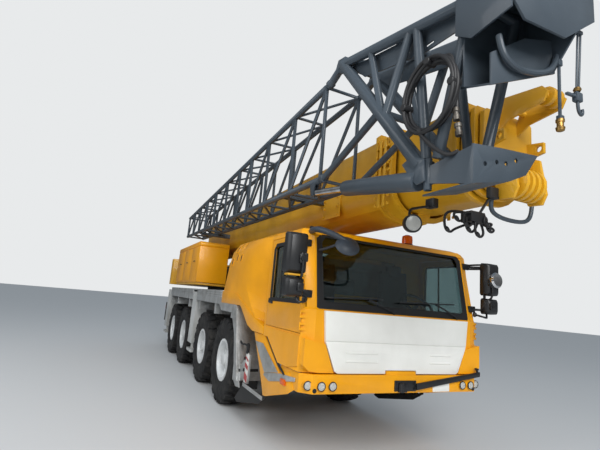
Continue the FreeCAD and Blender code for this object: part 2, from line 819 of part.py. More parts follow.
def mudguards():
    """Fender, deck plates and marker board down each side, with the slanted front drop."""
    (nose_y, nose_z), (top_y, top_z) = FENDER_NOSE
    band = side((FENDER_NOSE[0], FENDER_NOSE[1], (DECK_FRONT, FENDER_TOP),
                 (DECK_FRONT, DECK_TOP), (DECK_REAR, DECK_TOP), (DECK_REAR, DECK_TOP - 250),
                 (3560, DECK_TOP - 250), (3400, 1480), (2720, 1480), (2480, 1180),
                 (2330, 760), (2310, 520)), -HALF, -HALF + 25)
    drop = side(((nose_y, nose_z), (top_y, top_z), (top_y + 35, top_z), (nose_y + 35, nose_z)),
                -HALF, -900)
    fender = box(-HALF, -RING_R - 60, top_y + 20, DECK_FRONT + DECK, FENDER_TOP - DECK,
                 FENDER_TOP)
    riser = box(-HALF, -RING_R - 60, DECK_FRONT, DECK_FRONT + DECK, FENDER_TOP - DECK, DECK_TOP)
    deck = box(-HALF, -RING_R - 60, DECK_FRONT, DECK_REAR, DECK_TOP - DECK, DECK_TOP)
    ribs = []
    for z in (1715, 1760, 1805):
        ribs.append(box(-HALF - 8, -HALF + 5, DECK_FRONT + 30, DECK_REAR - 20, z - 8, z + 8))
    flap = side(((2010, 470), (2150, 640), (2310, 620), (2330, 520), (2200, 450)), -HALF + 20,
                -HALF + 34)
    stay = side(((1905, 950), (1905, 600), (2140, 540), (2330, 620)), -1215, -1205)
    board = side(((1815, 560), (1800, 640), (1800, 950), (1870, 975), (1940, 950),
                  (1950, 560)), -1218, -1188)
    jack_y = OUTRIGGERS[0][1]
    reach = JACK_HEAD_HALF + PASSAGE_GAP
    gap = box(-HALF - 10, 0, jack_y - reach, jack_y + reach, 0, 2 * DECK_TOP)
    bridge = box(-HALF, -RING_R - 60, jack_y - reach + SEAT, jack_y + reach - SEAT,
                 DECK_TOP - DECK, DECK_TOP)
    brackets = []
    for y, top in ((2750, FENDER_TOP), (3895, DECK_TOP), (5300, DECK_TOP), (6500, DECK_TOP),
                   (8150, DECK_TOP), (9330, DECK_TOP)):
        brackets.append(box(-HALF + 10, -FRAME_HALF - SEAT, y - 40, y + 40, FRAME_TOP - 60,
                            top - DECK + 5))
    right = fuse([band, drop, fender, riser, deck, flap, stay, board] + ribs + brackets)
    return Part.makeCompound(both(right.cut(gap)) + both(bridge))


COVER_IN = 560.0
COVER_WALL = 30.0

# Levels of the cover behind the cab: z, where its front facet meets the side, outer x, rear y
COVER_LEVELS = (
    (1290, 1290, 1262, 3420),
    (1475, 1590, 1262, 3430),
    (1620, 1830, 1262, 3430),
    (1850, 2100, 1262, 3400),
    (2000, 2150, 1262, 3330),
    (2300, 2030, 1255, 3230),
    (2500, 1920, 1225, 3180),
    (2640, 1800, 1150, 3080),
    (2710, 1740, 1020, 2900),
)

# The band along the cover's foot, as (y, z)
FOOT_BAND = (
    (1215, 1395),
    (1600, 1475),
    (2620, 1800),
    (3440, 1820),
    (3440, FENDER_TOP + 2),
    (2300, FENDER_TOP + 2),
    (1890, 1362),
    (1650, 1302),
    (1215, 1300),
)
LOUVRES_Y = (2610.0, 2850.0, 3110.0)


def cover_form(inset, low_z):
    """One side cover. The facet behind the cab runs from its front corner to the side."""
    rings = []
    for z, crease_y, outer, rear in COVER_LEVELS:
        z = z - (inset if z == COVER_LEVELS[-1][0] else 0)
        front_y = 1250 + inset
        rings.append([V(-COVER_IN - inset, front_y, z), V(-985 + inset, front_y, z),
                      V(-outer + inset, crease_y + inset, z), V(-outer + inset, rear - inset, z),
                      V(-COVER_IN - inset, rear - inset, z)])
    form = stack(rings)
    below = side(((1000, 0), (1000, low_z), (1215, low_z), (1600, low_z + 110),
                  (2400, FENDER_TOP + 4), (3600, FENDER_TOP + 4), (3600, 0)), 10, -HALF - 50)
    return form.cut(below)


def engine_covers():
    low = CAB_FLOOR + 30
    right = cover_form(0, low).cut(cover_form(COVER_WALL, low + COVER_WALL))
    band = side(FOOT_BAND, -HALF, -HALF + 60)
    hood = box(-COVER_IN - 5, COVER_IN + 5, 1250, 3230, 2300, 2400)
    legs = box(-620, -FRAME_HALF - SEAT, 2900, 3200, FRAME_TOP - 100, 2000)
    foot = box(-1200, -560, 2500, 3400, FENDER_TOP + 2, FENDER_TOP + 40)
    slots = []
    for y in LOUVRES_Y:
        slots.append(plate(((-1300, y - 20, 2640), (-1300, y + 10, 2640), (-1300, y + 70, 2510),
                            (-1300, y + 40, 2510)), -160))
    right = fuse([right, band, legs, foot]).cut(slots)
    return fuse([right, mirrored(right), hood])


def engine():
    return box(-380, 380, 1700, 3100, FRAME_TOP + SEAT, 2150)


# How far behind the screen's face the mirrors' arms stand on its pillars, ahead of the doors
PILLAR_BACK = 22.0


def pillar_front(z):
    """The front of the cab's pillars at height z, beside the windscreen."""
    low_z = SCREEN_SILL + 22
    lean = (SCREEN_TOP_Y - 28 - (SCREEN_LOW_Y - 20)) / (CAB_TOP - 80 - low_z)
    return SCREEN_LOW_Y - 20 + lean * (z - low_z)


# Mirror housings from the top: lower and upper height, rear face, depth, half width
MIRROR_FORMS = (
    (2045.0, 2480.0, 118.0),
    (1800.0, 2010.0, 105.0),
)


def mirror_form(low, high, half):
    """One housing: a shallow cup with cut corners, its glass side to the rear."""
    rings = []
    for y, shrink in ((-42, 34), (-14, 8), (80, 0), (92, 6)):
        x0 = -MIRROR_X - half + shrink
        x1 = -MIRROR_X + half - shrink
        z0 = low + shrink
        z1 = high - shrink
        rings.append([V(x0 + 18, y, z0), V(x1 - 18, y, z0), V(x1, y, z0 + 18),
                      V(x1, y, z1 - 18), V(x1 - 18, y, z1), V(x0 + 18, y, z1),
                      V(x0, y, z1 - 18), V(x0, y, z0 + 18)])
    return stack(rings)


def mirrors():
    """Two housings each side on a post, held by arms from feet on the windscreen pillar."""
    pieces = [mirror_form(*form) for form in MIRROR_FORMS]
    post_x = -MIRROR_X + 60
    pieces.append(bar((post_x, 60, 1820), (post_x, 60, 2470), 16, 6))
    for z in (1850, 2420):
        y = pillar_front(z) + PILLAR_BACK
        foot = box(-HALF - SEAT - 18, -HALF + CORNER_IN - 35, y - 14, y + 14, z - 40, z + 40)
        pieces.append(foot.cut(cab_form(-SEAT)))
        pieces.append(bar((post_x, 60, z), (-HALF - SEAT - 14, y, z), 14, 6))
    return Part.makeCompound(both(fuse(pieces)))


def superstructure_frame():
    ring = rod((0, SLEW_Y, PLATFORM_LOW), (0, SLEW_Y, PLATFORM_LOW + PLATFORM), RING_R)
    base = box(-HALF + 20, HALF - 20, HOOD_FRONT + 50, HOOD_REAR, PLATFORM_LOW,
               PLATFORM_LOW + PLATFORM)
    spine = box(-SIDE_PLATE_IN - SIDE_PLATE, SIDE_PLATE_IN + SIDE_PLATE, HOOD_REAR - 50,
                TAIL_FRONT, PLATFORM_LOW, PLATFORM_LOW + PLATFORM)
    low = PLATFORM_LOW + PLATFORM - 5
    plate = side(((6700, low), (6700, 2250), (8350, 3260, 200), (PIVOT_Y + 260, 3260, 150),
                  (TAIL_FRONT, 2500), (TAIL_FRONT, low)),
                 -SIDE_PLATE_IN - SIDE_PLATE, -SIDE_PLATE_IN)
    pins = rod((-SIDE_PLATE_IN - SIDE_PLATE, PIVOT_Y, PIVOT_Z),
               (-BOOM_HALF + 60, PIVOT_Y, PIVOT_Z), PIVOT_R)
    lugs = []
    inner = EYE_HALF + 5
    for x in (-inner - LUG, inner):
        lugs.append(side(((FOOT_Y - 160, low), (FOOT_Y - 110, FOOT_Z + 110, 100),
                          (FOOT_Y + 110, FOOT_Z + 110, 100), (FOOT_Y + 160, low)), x, x + LUG))
    foot_pin = rod((-inner - LUG, FOOT_Y, FOOT_Z), (inner + LUG, FOOT_Y, FOOT_Z), EYE_PIN_R)
    drum_pin = rod((-SIDE_PLATE_IN - 5, DRUM_Y, DRUM_Z), (-SIDE_PLATE_IN + 60, DRUM_Y, DRUM_Z),
                   60)
    return fuse([ring, base, spine, foot_pin] + lugs + both(plate) + both(pins)
                + both(drum_pin))


LID_Z = 2852.0
LID_SEAM = 12.0


def superstructure_hood():
    """The machinery house on the right: a lid over a groove, and doors marked by grooves."""
    low = PLATFORM_LOW + PLATFORM + SEAT
    inner = -SIDE_PLATE_IN - SIDE_PLATE - SEAT
    house = side(((HOOD_FRONT, low), (HOOD_FRONT, HOOD_TOP - 40), (HOOD_FRONT + 60, HOOD_TOP),
                  (HOOD_REAR - 60, HOOD_TOP), (HOOD_REAR, HOOD_TOP - 40), (HOOD_REAR, low)),
                 -HALF, inner)
    ring = box(-HALF - 1, inner + 1, HOOD_FRONT - 1, HOOD_REAR + 1, LID_Z, LID_Z + LID_SEAM)
    core = box(-HALF + 15, inner + 2, HOOD_FRONT + 15, HOOD_REAR - 15, LID_Z - 1,
               LID_Z + LID_SEAM + 1)
    seams = [ring.cut(core)]
    for y in (6900, 7900):
        seams.append(box(-HALF - 1, -HALF + 15, y, y + LID_SEAM, low + 60, LID_Z))
    return house.cut(seams)


def counterweight():
    """Two slabs with a groove between them and cut rear corners."""
    slab = plan(((-HALF, TAIL_FRONT + SEAT), (HALF, TAIL_FRONT + SEAT), (HALF, TAIL_REAR - 200),
                 (HALF - 250, TAIL_REAR), (-HALF + 250, TAIL_REAR), (-HALF, TAIL_REAR - 200)),
                PLATFORM_LOW, 2750)
    groove = box(-HALF - 1, HALF + 1, TAIL_REAR - 15, TAIL_REAR + 1, 2330, 2345)
    return slab.cut(groove)


def hoist_drum():
    inner = SIDE_PLATE_IN - 12
    barrel = rod((-inner, DRUM_Y, DRUM_Z), (inner, DRUM_Y, DRUM_Z), DRUM_R)
    flanges = [rod((sign * inner, DRUM_Y, DRUM_Z), (sign * (inner - 25), DRUM_Y, DRUM_Z),
                   DRUM_FLANGE_R) for sign in (-1, 1)]
    bore = rod((-inner - 1, DRUM_Y, DRUM_Z), (inner + 1, DRUM_Y, DRUM_Z), 60 + RUN)
    return fuse([barrel] + flanges).cut(bore)


OP_IN = 575.0
OP_FRONT = 5500.0
OP_REAR = 7000.0
OP_LOW = PLATFORM_LOW + PLATFORM + SEAT
OP_TOP = 3420.0
OP_WALL = 35.0
OP_DOOR_FRONT = OP_FRONT + 480
OP_HINGES = (2150.0, 3150.0)


def operator_profile(inset):
    return ((OP_FRONT + 150 + inset, OP_LOW + inset), (OP_FRONT + inset, 2500),
            (OP_FRONT + 200 + inset, OP_TOP - inset), (OP_REAR - inset, OP_TOP - inset),
            (OP_REAR - inset, OP_LOW + inset))


def operator_cab():
    outer = side(operator_profile(0), OP_IN, HALF)
    inner = side(operator_profile(OP_WALL), OP_IN + OP_WALL, HALF - OP_WALL)
    cuts = [
        inner,
        front(((OP_IN + 70, 2250), (OP_IN + 70, 3340), (HALF - 70, 3340),
               (HALF - 70, 2250)), OP_FRONT - 50, OP_FRONT + 330),
        side(operator_door_profile(DOOR_GAP), HALF + 10, HALF - OP_WALL - 10),
        side(((OP_FRONT + 330, 2500), (OP_FRONT + 330, 3300), (OP_REAR - 150, 3300),
              (OP_REAR - 150, 2500)), OP_IN - 10, OP_IN + OP_WALL + 10),
    ]
    seat = box(OP_IN + 130, HALF - 130, 6250, 6700, OP_LOW + 20, 2480)
    back = side(((6640, 2450), (6700, 3020), (6780, 3020), (6760, 2450)),
                OP_IN + 150, HALF - 150)
    foot = box(OP_IN + 20, HALF - 40, HOOD_FRONT + 60, OP_REAR - 20, OP_LOW,
               OP_LOW + OP_WALL)
    ears = []
    for z in OP_HINGES:
        ears += hinge(1, OP_DOOR_FRONT, z)[0]
    return fuse([outer.cut(cuts), seat, back, foot] + ears)


def operator_door_profile(grow):
    return ((OP_DOOR_FRONT - grow, OP_LOW + 60 - grow), (OP_DOOR_FRONT - grow, 3350 + grow),
            (OP_REAR - 130 + grow, 3350 + grow), (OP_REAR - 130 + grow, OP_LOW + 60 - grow))


def operator_door():
    skin = side(operator_door_profile(0), HALF - OP_WALL, HALF)
    window = side(((OP_FRONT + 560, 2350), (OP_FRONT + 560, 3280),
                   (OP_REAR - 210, 3280), (OP_REAR - 210, 2350)),
                  HALF - OP_WALL - 5, HALF + 5)
    return fuse([skin.cut(window)] + [hinge(1, OP_DOOR_FRONT, z)[1] for z in OP_HINGES])


def operator_glass():
    pane = front(((OP_IN + 70 + SEAT, 2520), (OP_IN + 70 + SEAT, 3330),
                  (HALF - 70 - SEAT, 3330), (HALF - 70 - SEAT, 2520)),
                 0, GLASS)
    lean = math.degrees(math.atan2(200, OP_TOP - 2500))
    pane.translate(V(0, 0, -2500))
    pane.rotate(V(0, 0, 0), X_AXIS, -lean)
    pane.translate(V(0, OP_FRONT + 12, 2500))
    inner = side(((OP_FRONT + 330 + SEAT, 2500 + SEAT), (OP_FRONT + 330 + SEAT, 3300 - SEAT),
                  (OP_REAR - 150 - SEAT, 3300 - SEAT), (OP_REAR - 150 - SEAT, 2500 + SEAT)),
                 OP_IN + 12, OP_IN + 12 + GLASS)
    return Part.makeCompound([pane, inner])


KEEL_BENDS = 6


def boom_outline(step, grow):
    """The boom's section: flat top, upright sides and a keel pressed in flat bends."""
    half = BOOM_HALF - step * BOOM_STEP + grow
    low = BOOM_LOW + step * BOOM_STEP - grow
    high = BOOM_TOP - step * BOOM_STEP + grow
    keel = (BOOM_HALF - step * BOOM_STEP) * 0.8 + grow
    cut = 35
    right = [(-half, high - cut), (-half + cut, high)]
    bend = []
    for i in range(KEEL_BENDS + 1):
        turn = math.pi / 2 * i / KEEL_BENDS
        bend.append((half - keel + keel * math.cos(turn), low + keel - keel * math.sin(turn)))
    left = [(-x, z) for x, z in reversed(right)]
    return right + left + bend + [(-x, z) for x, z in reversed(bend)]


def boom_mouth(step):
    """The front face of a section's collar. The first section stands well out of the base."""
    if step == 0:
        return BOOM_MOUTH
    return BOOM_MOUTH - FIRST_REACH - (step - 1) * (COLLAR + COLLAR_GAP)


def boom_section(step, rear):
    mouth = boom_mouth(step)
    length = COLLAR if step else BASE_COLLAR
    tube = front(boom_outline(step, 0), mouth, rear)
    collar = front(boom_outline(step, COLLAR_RISE), mouth, mouth + COLLAR)
    hollow = front(boom_outline(step, -BOOM_WALL), mouth - 5, rear + 5)
    parts = [tube, collar]
    if step == 0:
        parts.append(front(boom_outline(step, COLLAR_RISE), mouth + length - COLLAR,
                           mouth + length))
        for x in (-BOOM_HALF - COLLAR_RISE, BOOM_HALF + 2):
            for z in (3200, 3420, 3640):
                parts.append(box(x, x + COLLAR_RISE - 2, mouth + 10, mouth + length - 10,
                                 z - 12, z + 12))
    shell = fuse(parts).cut(hollow)
    if step < SECTIONS:
        low = BOOM_LOW + (step + 1) * BOOM_STEP - SEAT
        pad = box(-90, 90, mouth, mouth + COLLAR, low - BOOM_STEP + BOOM_WALL / 2, low)
        shell = fuse([shell, pad])
    return shell


def boom_base():
    shell = boom_section(0, BOOM_FOOT)
    boss = bar((-BOOM_HALF - 45, PIVOT_Y, PIVOT_Z),
               (-BOOM_HALF + BOOM_WALL + 40, PIVOT_Y, PIVOT_Z), 150, 16)
    foot = front(boom_outline(0, -BOOM_WALL + 1), BOOM_FOOT - 60, BOOM_FOOT)
    pin = rod((-BOOM_HALF - 60, PIVOT_Y, PIVOT_Z), (BOOM_HALF + 60, PIVOT_Y, PIVOT_Z),
              PIVOT_R + RUN)
    lugs = []
    inner = EYE_HALF + 5
    for x in (-inner - LUG, inner):
        lugs.append(side(((EYE_Y - 260, BOOM_LOW + 10), (EYE_Y - 110, EYE_Z - 110, 100),
                          (EYE_Y + 110, EYE_Z - 110, 100), (EYE_Y + 260, BOOM_LOW + 10)),
                         x, x + LUG))
    eye_pin = rod((-inner - LUG, EYE_Y, EYE_Z), (inner + LUG, EYE_Y, EYE_Z), EYE_PIN_R)
    return fuse([shell, foot, eye_pin] + both(boss) + lugs).cut(pin)


# Side plates of the sheave block below and of the nose above, as (out from the mouth, z)
HEAD_LOW = ((-10, 2990), (60, 2800), (190, 2790), (235, 2880), (180, 3210), (-10, 3300))
NOSE_PLATE = ((-10, 3480), (120, 3560), (430, 3600), (470, 3680), (420, 3745), (60, 3790),
              (-10, 3560))


def boom_head_section():
    """The last section, closed by a bulkhead that carries the sheave block and the nose."""
    tube = boom_section(SECTIONS, BOOM_FOOT - 900 - SECTIONS * 100)
    mouth = boom_mouth(SECTIONS)
    half = BOOM_HALF - SECTIONS * BOOM_STEP
    bulkhead = front(boom_outline(SECTIONS, 0), mouth, mouth + 25)
    parts = [tube, bulkhead]
    low = [(mouth - out, z) for out, z in HEAD_LOW]
    nose = [(mouth - out, z) for out, z in NOSE_PLATE]
    lug_y = mouth - JIB_PIN_OUT
    lug = ((mouth + 10, JIB_PIN_Z - 80), (lug_y - 50, JIB_PIN_Z - 50), (lug_y - 50, JIB_PIN_Z + 50),
           (mouth + 10, JIB_PIN_Z + 80))
    parts += both(side(low, -200, -172)) + both(side(nose, -130, -108))
    parts += both(side(lug, -half, -half + 32))
    for y, z, radius, reach in ((mouth - 130, 2950, 40, 199), (mouth - 60, 3180, 34, 199),
                                (mouth - 410, 3675, 26, 129), (mouth - 80, 3680, 26, 129)):
        parts.append(bar((-reach, y, z), (reach, y, z), radius))
    for x in (-110, -37, 37, 110):
        parts.append(bar((x - 18, mouth - 130, 2950), (x + 18, mouth - 130, 2950), 150, 16))
    for x in (-45, 45):
        parts.append(bar((x - 20, mouth - 410, 3675), (x + 20, mouth - 410, 3675), 82, 14))
    bore = rod((-half - 1, lug_y, JIB_PIN_Z), (half + 1, lug_y, JIB_PIN_Z), JIB_PIN_R)
    return fuse(parts).cut(bore)


def along(distance):
    """A point on the luffing cylinder's axis, so far from its foot."""
    way = V(0, EYE_Y - FOOT_Y, EYE_Z - FOOT_Z)
    return V(0, FOOT_Y, FOOT_Z) + way.normalize() * distance


def luff_barrel():
    reach = V(0, EYE_Y - FOOT_Y, EYE_Z - FOOT_Z).Length - 410
    barrel = rod(along(150), along(reach), BARREL_R)
    bore = rod(along(250), along(reach + 5), ROD_R + RUN)
    neck = rod(along(60), along(160), EYE_HALF - 5)
    eye = rod((-EYE_HALF, FOOT_Y, FOOT_Z), (EYE_HALF, FOOT_Y, FOOT_Z), 95)
    pin = rod((-EYE_HALF - 1, FOOT_Y, FOOT_Z), (EYE_HALF + 1, FOOT_Y, FOOT_Z), EYE_PIN_R + RUN)
    return fuse([barrel, neck, eye]).cut([bore, pin])


def luff_rod():
    length = V(0, EYE_Y - FOOT_Y, EYE_Z - FOOT_Z).Length
    bar = rod(along(260), along(length - 40), ROD_R)
    eye = rod((-EYE_HALF, EYE_Y, EYE_Z), (EYE_HALF, EYE_Y, EYE_Z), 90)
    pin = rod((-EYE_HALF - 1, EYE_Y, EYE_Z), (EYE_HALF + 1, EYE_Y, EYE_Z), EYE_PIN_R + SEAT)
    return fuse([bar, eye]).cut(pin)


# Jib, stowed along the boom's right side
JIB_NEAR = -1200.0
JIB_FAR = -750.0
CHORD_R = 38.0
BRACE_R = 20.0
BOLT_HOLE_R = 17.0
TIE_R = 32.0

# Lattice posts from the rear: y, lower chord z, upper chord z
JIB_POSTS = (
    (8370, 3330, 3880),
    (7600, 3310, 3915),
    (6860, 3290, 3955),
    (6090, 3270, 3990),
    (5250, 3250, 4030),
    (4310, 3230, 4075),
    (3450, 3210, 4115),
    (2760, 3190, 4150),
    (1940, 3170, 4190),
    (970, 3150, 4235),
    (100, 3130, 4275),
)

# The jib's folding cylinder, as (y, z) from its rod's eye to its foot
ROD_EYE = (220, 3000)
ROD_PIN_R = 15.0
BARREL_HEAD = (-490, 2905)
BARREL_FOOT = (-1540, 2735)
FOLD_BARREL_R = 78.0
FOLD_ROD_R = 33.0


def jib_lattice():
    """Two side frames with crossed bracing, tied across, on two carriers from the boom."""
    bars = []
    first = JIB_POSTS[0]
    last = JIB_POSTS[-1]
    for x in (JIB_NEAR, JIB_FAR):
        bars.append(bar((x, first[0], first[1]), (x, last[0], last[1]), CHORD_R, 8))
        bars.append(bar((x, first[0], first[2]), (x, last[0], last[2]), CHORD_R, 8))
        for i, (y, low, high) in enumerate(JIB_POSTS):
            bars.append(bar((x, y, low), (x, y, high), BRACE_R + 2, 6))
            if i:
                back = JIB_POSTS[i - 1]
                bars.append(bar((x, back[0], back[1]), (x, y, high), BRACE_R, 6))
    for y, low, high in JIB_POSTS:
        bars.append(bar((JIB_NEAR, y, low), (JIB_FAR, y, low), BRACE_R - 1, 6))
        bars.append(bar((JIB_NEAR, y, high), (JIB_FAR, y, high), BRACE_R - 1, 6))
    for a, b in zip(JIB_POSTS, JIB_POSTS[1:]):
        bars.append(bar((JIB_NEAR, a[0], a[2]), (JIB_FAR, b[0], b[2]), BRACE_R - 3, 6))
        bars.append(bar((JIB_FAR, a[0], a[1]), (JIB_NEAR, b[0], b[1]), BRACE_R - 3, 6))
    carriers = []
    for y in (1400, 6500):
        carriers.append(box(JIB_FAR - 20, -BOOM_HALF - SEAT, y - 60, y + 60, 3190, 3290))
        carriers.append(box(JIB_FAR - 20, JIB_NEAR + 20, y - 60, y + 60, 3190, 3250))
    lugs = []
    for x in (JIB_NEAR - 30, JIB_NEAR + 15):
        lugs.append(side(((ROD_EYE[0] - 60, 3150), (ROD_EYE[0] + 80, 3150),
                          (ROD_EYE[0] + 30, ROD_EYE[1] - 40), (ROD_EYE[0] - 30, ROD_EYE[1] - 40)),
                         x, x + 15))
    pin = rod((JIB_NEAR - 30, ROD_EYE[0], ROD_EYE[1]), (JIB_NEAR + 30, ROD_EYE[0], ROD_EYE[1]),
              ROD_PIN_R)
    return fuse(bars + carriers + lugs + [pin])


# Joints of the front frame in a side plane, as (y, z)
KNEE = (-250, 4390)
TOP_END = (-2030, 3955)
BRACKET = (-1570, 2840)
MIDDLE = (-1060, 3480)
TOP_TIE = (-1150, 4170)
KNEE_CHEEK = ((-180, 4470), (-120, 4350), (-300, 4260), (-400, 4330), (-330, 4440))
CHEEK_HALF = 30.0

# Bars of each side frame: from, to, radius
FRAME_BARS = (
    (KNEE, TOP_END, 47),
    (KNEE, BRACKET, 58),
    ((-780, 4265), (-1010, 3540), 34),
    ((-1380, 4115), (-1075, 3450), 38),
    ((-1460, 4095), (-1620, 2880), 40),
    (TOP_END, (-1735, 2860), 42),
)

# Sheet-metal housing at the jib's tip: loops of (x, y, z) and the sheet's thickness
SHEETS = (
    (((-1260, -1930, 3980), (-420, -1930, 4160), (-420, -2380, 4100), (-1260, -2380, 3920)), 14),
    (((-1260, -2378, 3926), (-420, -2378, 4106), (-420, -2378, 3860), (-750, -2378, 3610),
      (-1150, -2378, 3590), (-1260, -2378, 3700)), -16),
    (((-1222, -2200, 3212), (-582, -2200, 3502), (-582, -1960, 3582), (-1222, -1960, 3292)), 14),
    (((-1222, -2194, 3212), (-582, -2194, 3502), (-582, -2194, 3760), (-900, -2194, 3660),
      (-1222, -2194, 3440)), 14),
    (((-1222, -1974, 3292), (-582, -1974, 3582), (-582, -1974, 4135), (-1222, -1974, 3998)), 14),
    (((-596, -1962, 3576), (-596, -2206, 3496), (-596, -2384, 3730), (-596, -2384, 4066),
      (-596, -1962, 4122)), 14),
    (((-1250, -1940, 3986), (-1250, -2384, 3926), (-1250, -2384, 3640), (-1250, -2080, 3600),
      (-1250, -1940, 3700)), -14),
)
WEB = 12.0
GUIDE_WEB = ((-330, 4340), (-1900, 3985), (-1900, 3850), (-1480, 3870), (-900, 4010), (-600, 4090))
SLOTS = ((-1250, 3985), (-1550, 3915))

# The bolting channel below, its face as (x, z) and its side as (y, z)
BOLT_HOLES = ((-1100, 2755), (-990, 2790), (-900, 2800), (-800, 2845))
CHANNEL_FACE = ((-1210, 2600), (-1210, 2870), (-950, 2900), (-570, 2932), (-700, 2760),
                (-870, 2680))
CHANNEL_SIDE = ((-1600, 2700), (-1600, 2815), (-2060, 2862), (-2060, 2600))
CLEVIS = ((-1400, 2890), (-1510, 2930), (-1650, 2870), (-1660, 2700), (-1570, 2690),
          (-1480, 2790))


def jib_head():
    """The jib's front frame, its folding cylinder, and the sheet housing at the tip."""
    parts = []
    end_y, end_low, end_high = JIB_POSTS[-1]
    join = end_y - BRACE_R - CHORD_R - SEAT
    for x in (JIB_NEAR, JIB_FAR):
        parts.append(bar((x, join, end_high), (x, join - 50, end_high + 8), CHORD_R + 12, 8))
        parts.append(bar((x, join, end_low), (x, join - 50, end_low), CHORD_R + 12, 8))
        parts.append(bar((x, join - 40, end_high + 6), (x, KNEE[0], KNEE[1]), CHORD_R + 4, 8))
        parts.append(bar((x, join - 40, end_low), (x, -1000, 3530), CHORD_R - 2, 8))
        for (y0, z0), (y1, z1), radius in FRAME_BARS:
            parts.append(bar((x, y0, z0), (x, y1, z1), radius, 8))
        parts.append(side(KNEE_CHEEK, x - CHEEK_HALF, x + CHEEK_HALF))
    for y, z in (KNEE, TOP_END, BRACKET, MIDDLE, TOP_TIE):
        parts.append(bar((JIB_NEAR, y, z), (JIB_FAR, y, z), TIE_R, 8))
    parts.append(bar((JIB_NEAR,) + KNEE, (JIB_FAR,) + TOP_TIE, TIE_R - 6, 6))
    # Guide plates under the top chords, with slots through them
    for x in (JIB_NEAR + 60, JIB_FAR - 60 - WEB):
        web = side(GUIDE_WEB, x, x + WEB)
        slots = [box(x - 1, x + WEB + 1, y - 45, y + 45, z - 11, z + 11) for y, z in SLOTS]
        parts.append(web.cut(slots))
    for x in (JIB_NEAR - 52, JIB_NEAR + 38):
        parts.append(side(CLEVIS, x, x + 14))
    parts.append(side(CHANNEL_SIDE, JIB_NEAR - 10, JIB_NEAR + 4))
    face = front(CHANNEL_FACE, -2060, -2046)
    holes = [bar((x, -2070, z), (x, -2030, z), BOLT_HOLE_R, 8) for x, z in BOLT_HOLES]
    parts.append(face.cut(holes))
    parts.append(front(((-1210, 2600), (-870, 2680), (-700, 2760), (-700, 2774), (-870, 2694),
                        (-1210, 2614)), -2060, -1600))
    parts.append(bar((JIB_NEAR, -1640, 2880), (JIB_NEAR, -1640, 2640), 30, 8))
    parts.append(bar((JIB_FAR, -1600, 2900), (JIB_FAR - 60, -2050, 2880), 30, 8))
    for corners, thickness in SHEETS:
        parts.append(plate(corners, thickness))
    parts.append(bar((JIB_NEAR,) + BARREL_HEAD, (JIB_NEAR,) + BARREL_FOOT, FOLD_BARREL_R, 12))
    parts.append(bar((JIB_NEAR, ROD_EYE[0] - 75, ROD_EYE[1] - 12), (JIB_NEAR,) + BARREL_HEAD,
                     FOLD_ROD_R, 8))
    eye = side(((ROD_EYE[0] - 90, ROD_EYE[1] - 36), (ROD_EYE[0] + 20, ROD_EYE[1] - 25),
                (ROD_EYE[0] + 20, ROD_EYE[1] + 25), (ROD_EYE[0] - 90, ROD_EYE[1] + 14)),
               JIB_NEAR - 15 + SEAT, JIB_NEAR + 15 - SEAT)
    eye_bore = rod((JIB_NEAR - 31, ROD_EYE[0], ROD_EYE[1]),
                   (JIB_NEAR + 31, ROD_EYE[0], ROD_EYE[1]), ROD_PIN_R + SEAT)
    parts.append(eye.cut(eye_bore))
    return fuse(parts)


def main():
    os.makedirs("parts", exist_ok=True)
    for number, axle_y, steered in AXLES:
        for name, sign in SIDES:
            tag = "_%d_%s" % (number, name)
            keep("tyre" + tag, tyre(sign, axle_y))
            keep("wheel_rim" + tag, rim(sign, axle_y))
            if steered:
                keep("steering_knuckle" + tag, knuckle(sign, axle_y))
    keep("suspension", suspension())
    keep("chassis", chassis())
    for place, centre_y in OUTRIGGERS:
        for name, sign in SIDES:
            keep("outrigger_beam_%s_%s" % (place, name), beam(sign, centre_y))
            keep("outrigger_jack_%s_%s" % (place, name), jack(sign, centre_y))
    keep("cab_shell", cab_shell())
    keep("cab_glass", cab_glass())
    for name, sign in SIDES:
        keep("cab_door_" + name, cab_door(sign))
        keep("cab_door_glass_" + name, cab_door_glass(sign))
    keep("cab_interior", cab_interior())
    keep("front_panel", front_panel())
    keep("bumper", bumper())
    keep("mudguards", mudguards())
    keep("engine_covers", engine_covers())
    keep("engine", engine())
    keep("mirrors", mirrors())
    keep("superstructure_frame", superstructure_frame())
    keep("superstructure_hood", superstructure_hood())
    keep("counterweight", counterweight())
    keep("hoist_drum", hoist_drum())
    keep("operator_cab", operator_cab())
    keep("operator_door", operator_door())
    keep("operator_glass", operator_glass())
    keep("boom_base", boom_base())
    for step in range(1, SECTIONS):
        keep("boom_section_%d" % step, boom_section(step, BOOM_FOOT - 600 - step * 100))
    keep("boom_section_%d" % SECTIONS, boom_head_section())
    keep("luff_barrel", luff_barrel())
    keep("luff_rod", luff_rod())
    keep("jib_lattice", jib_lattice())
    keep("jib_head", jib_head())


main()
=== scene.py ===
import json
import math

import bmesh
import bpy
from bpy.props import FloatProperty, FloatVectorProperty, IntProperty, StringProperty
from bpy.types import Operator, PropertyGroup
from mathutils import Matrix, Vector


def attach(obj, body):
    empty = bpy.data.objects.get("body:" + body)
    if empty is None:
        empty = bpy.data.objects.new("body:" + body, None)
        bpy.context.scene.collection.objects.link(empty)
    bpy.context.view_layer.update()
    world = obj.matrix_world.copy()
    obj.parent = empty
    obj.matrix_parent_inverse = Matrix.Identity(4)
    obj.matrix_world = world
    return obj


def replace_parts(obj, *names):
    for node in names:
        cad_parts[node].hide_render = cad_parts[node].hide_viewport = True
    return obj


bl_info = {
    "name": "Mobile Crane Finish",
    "version": (1, 0, 0),
    "blender": (4, 5, 0),
    "location": "3D View > Sidebar > Crane",
    "description": "Dresses the packed crane with tyres, paint, fittings and a studio",
    "category": "Object",
}

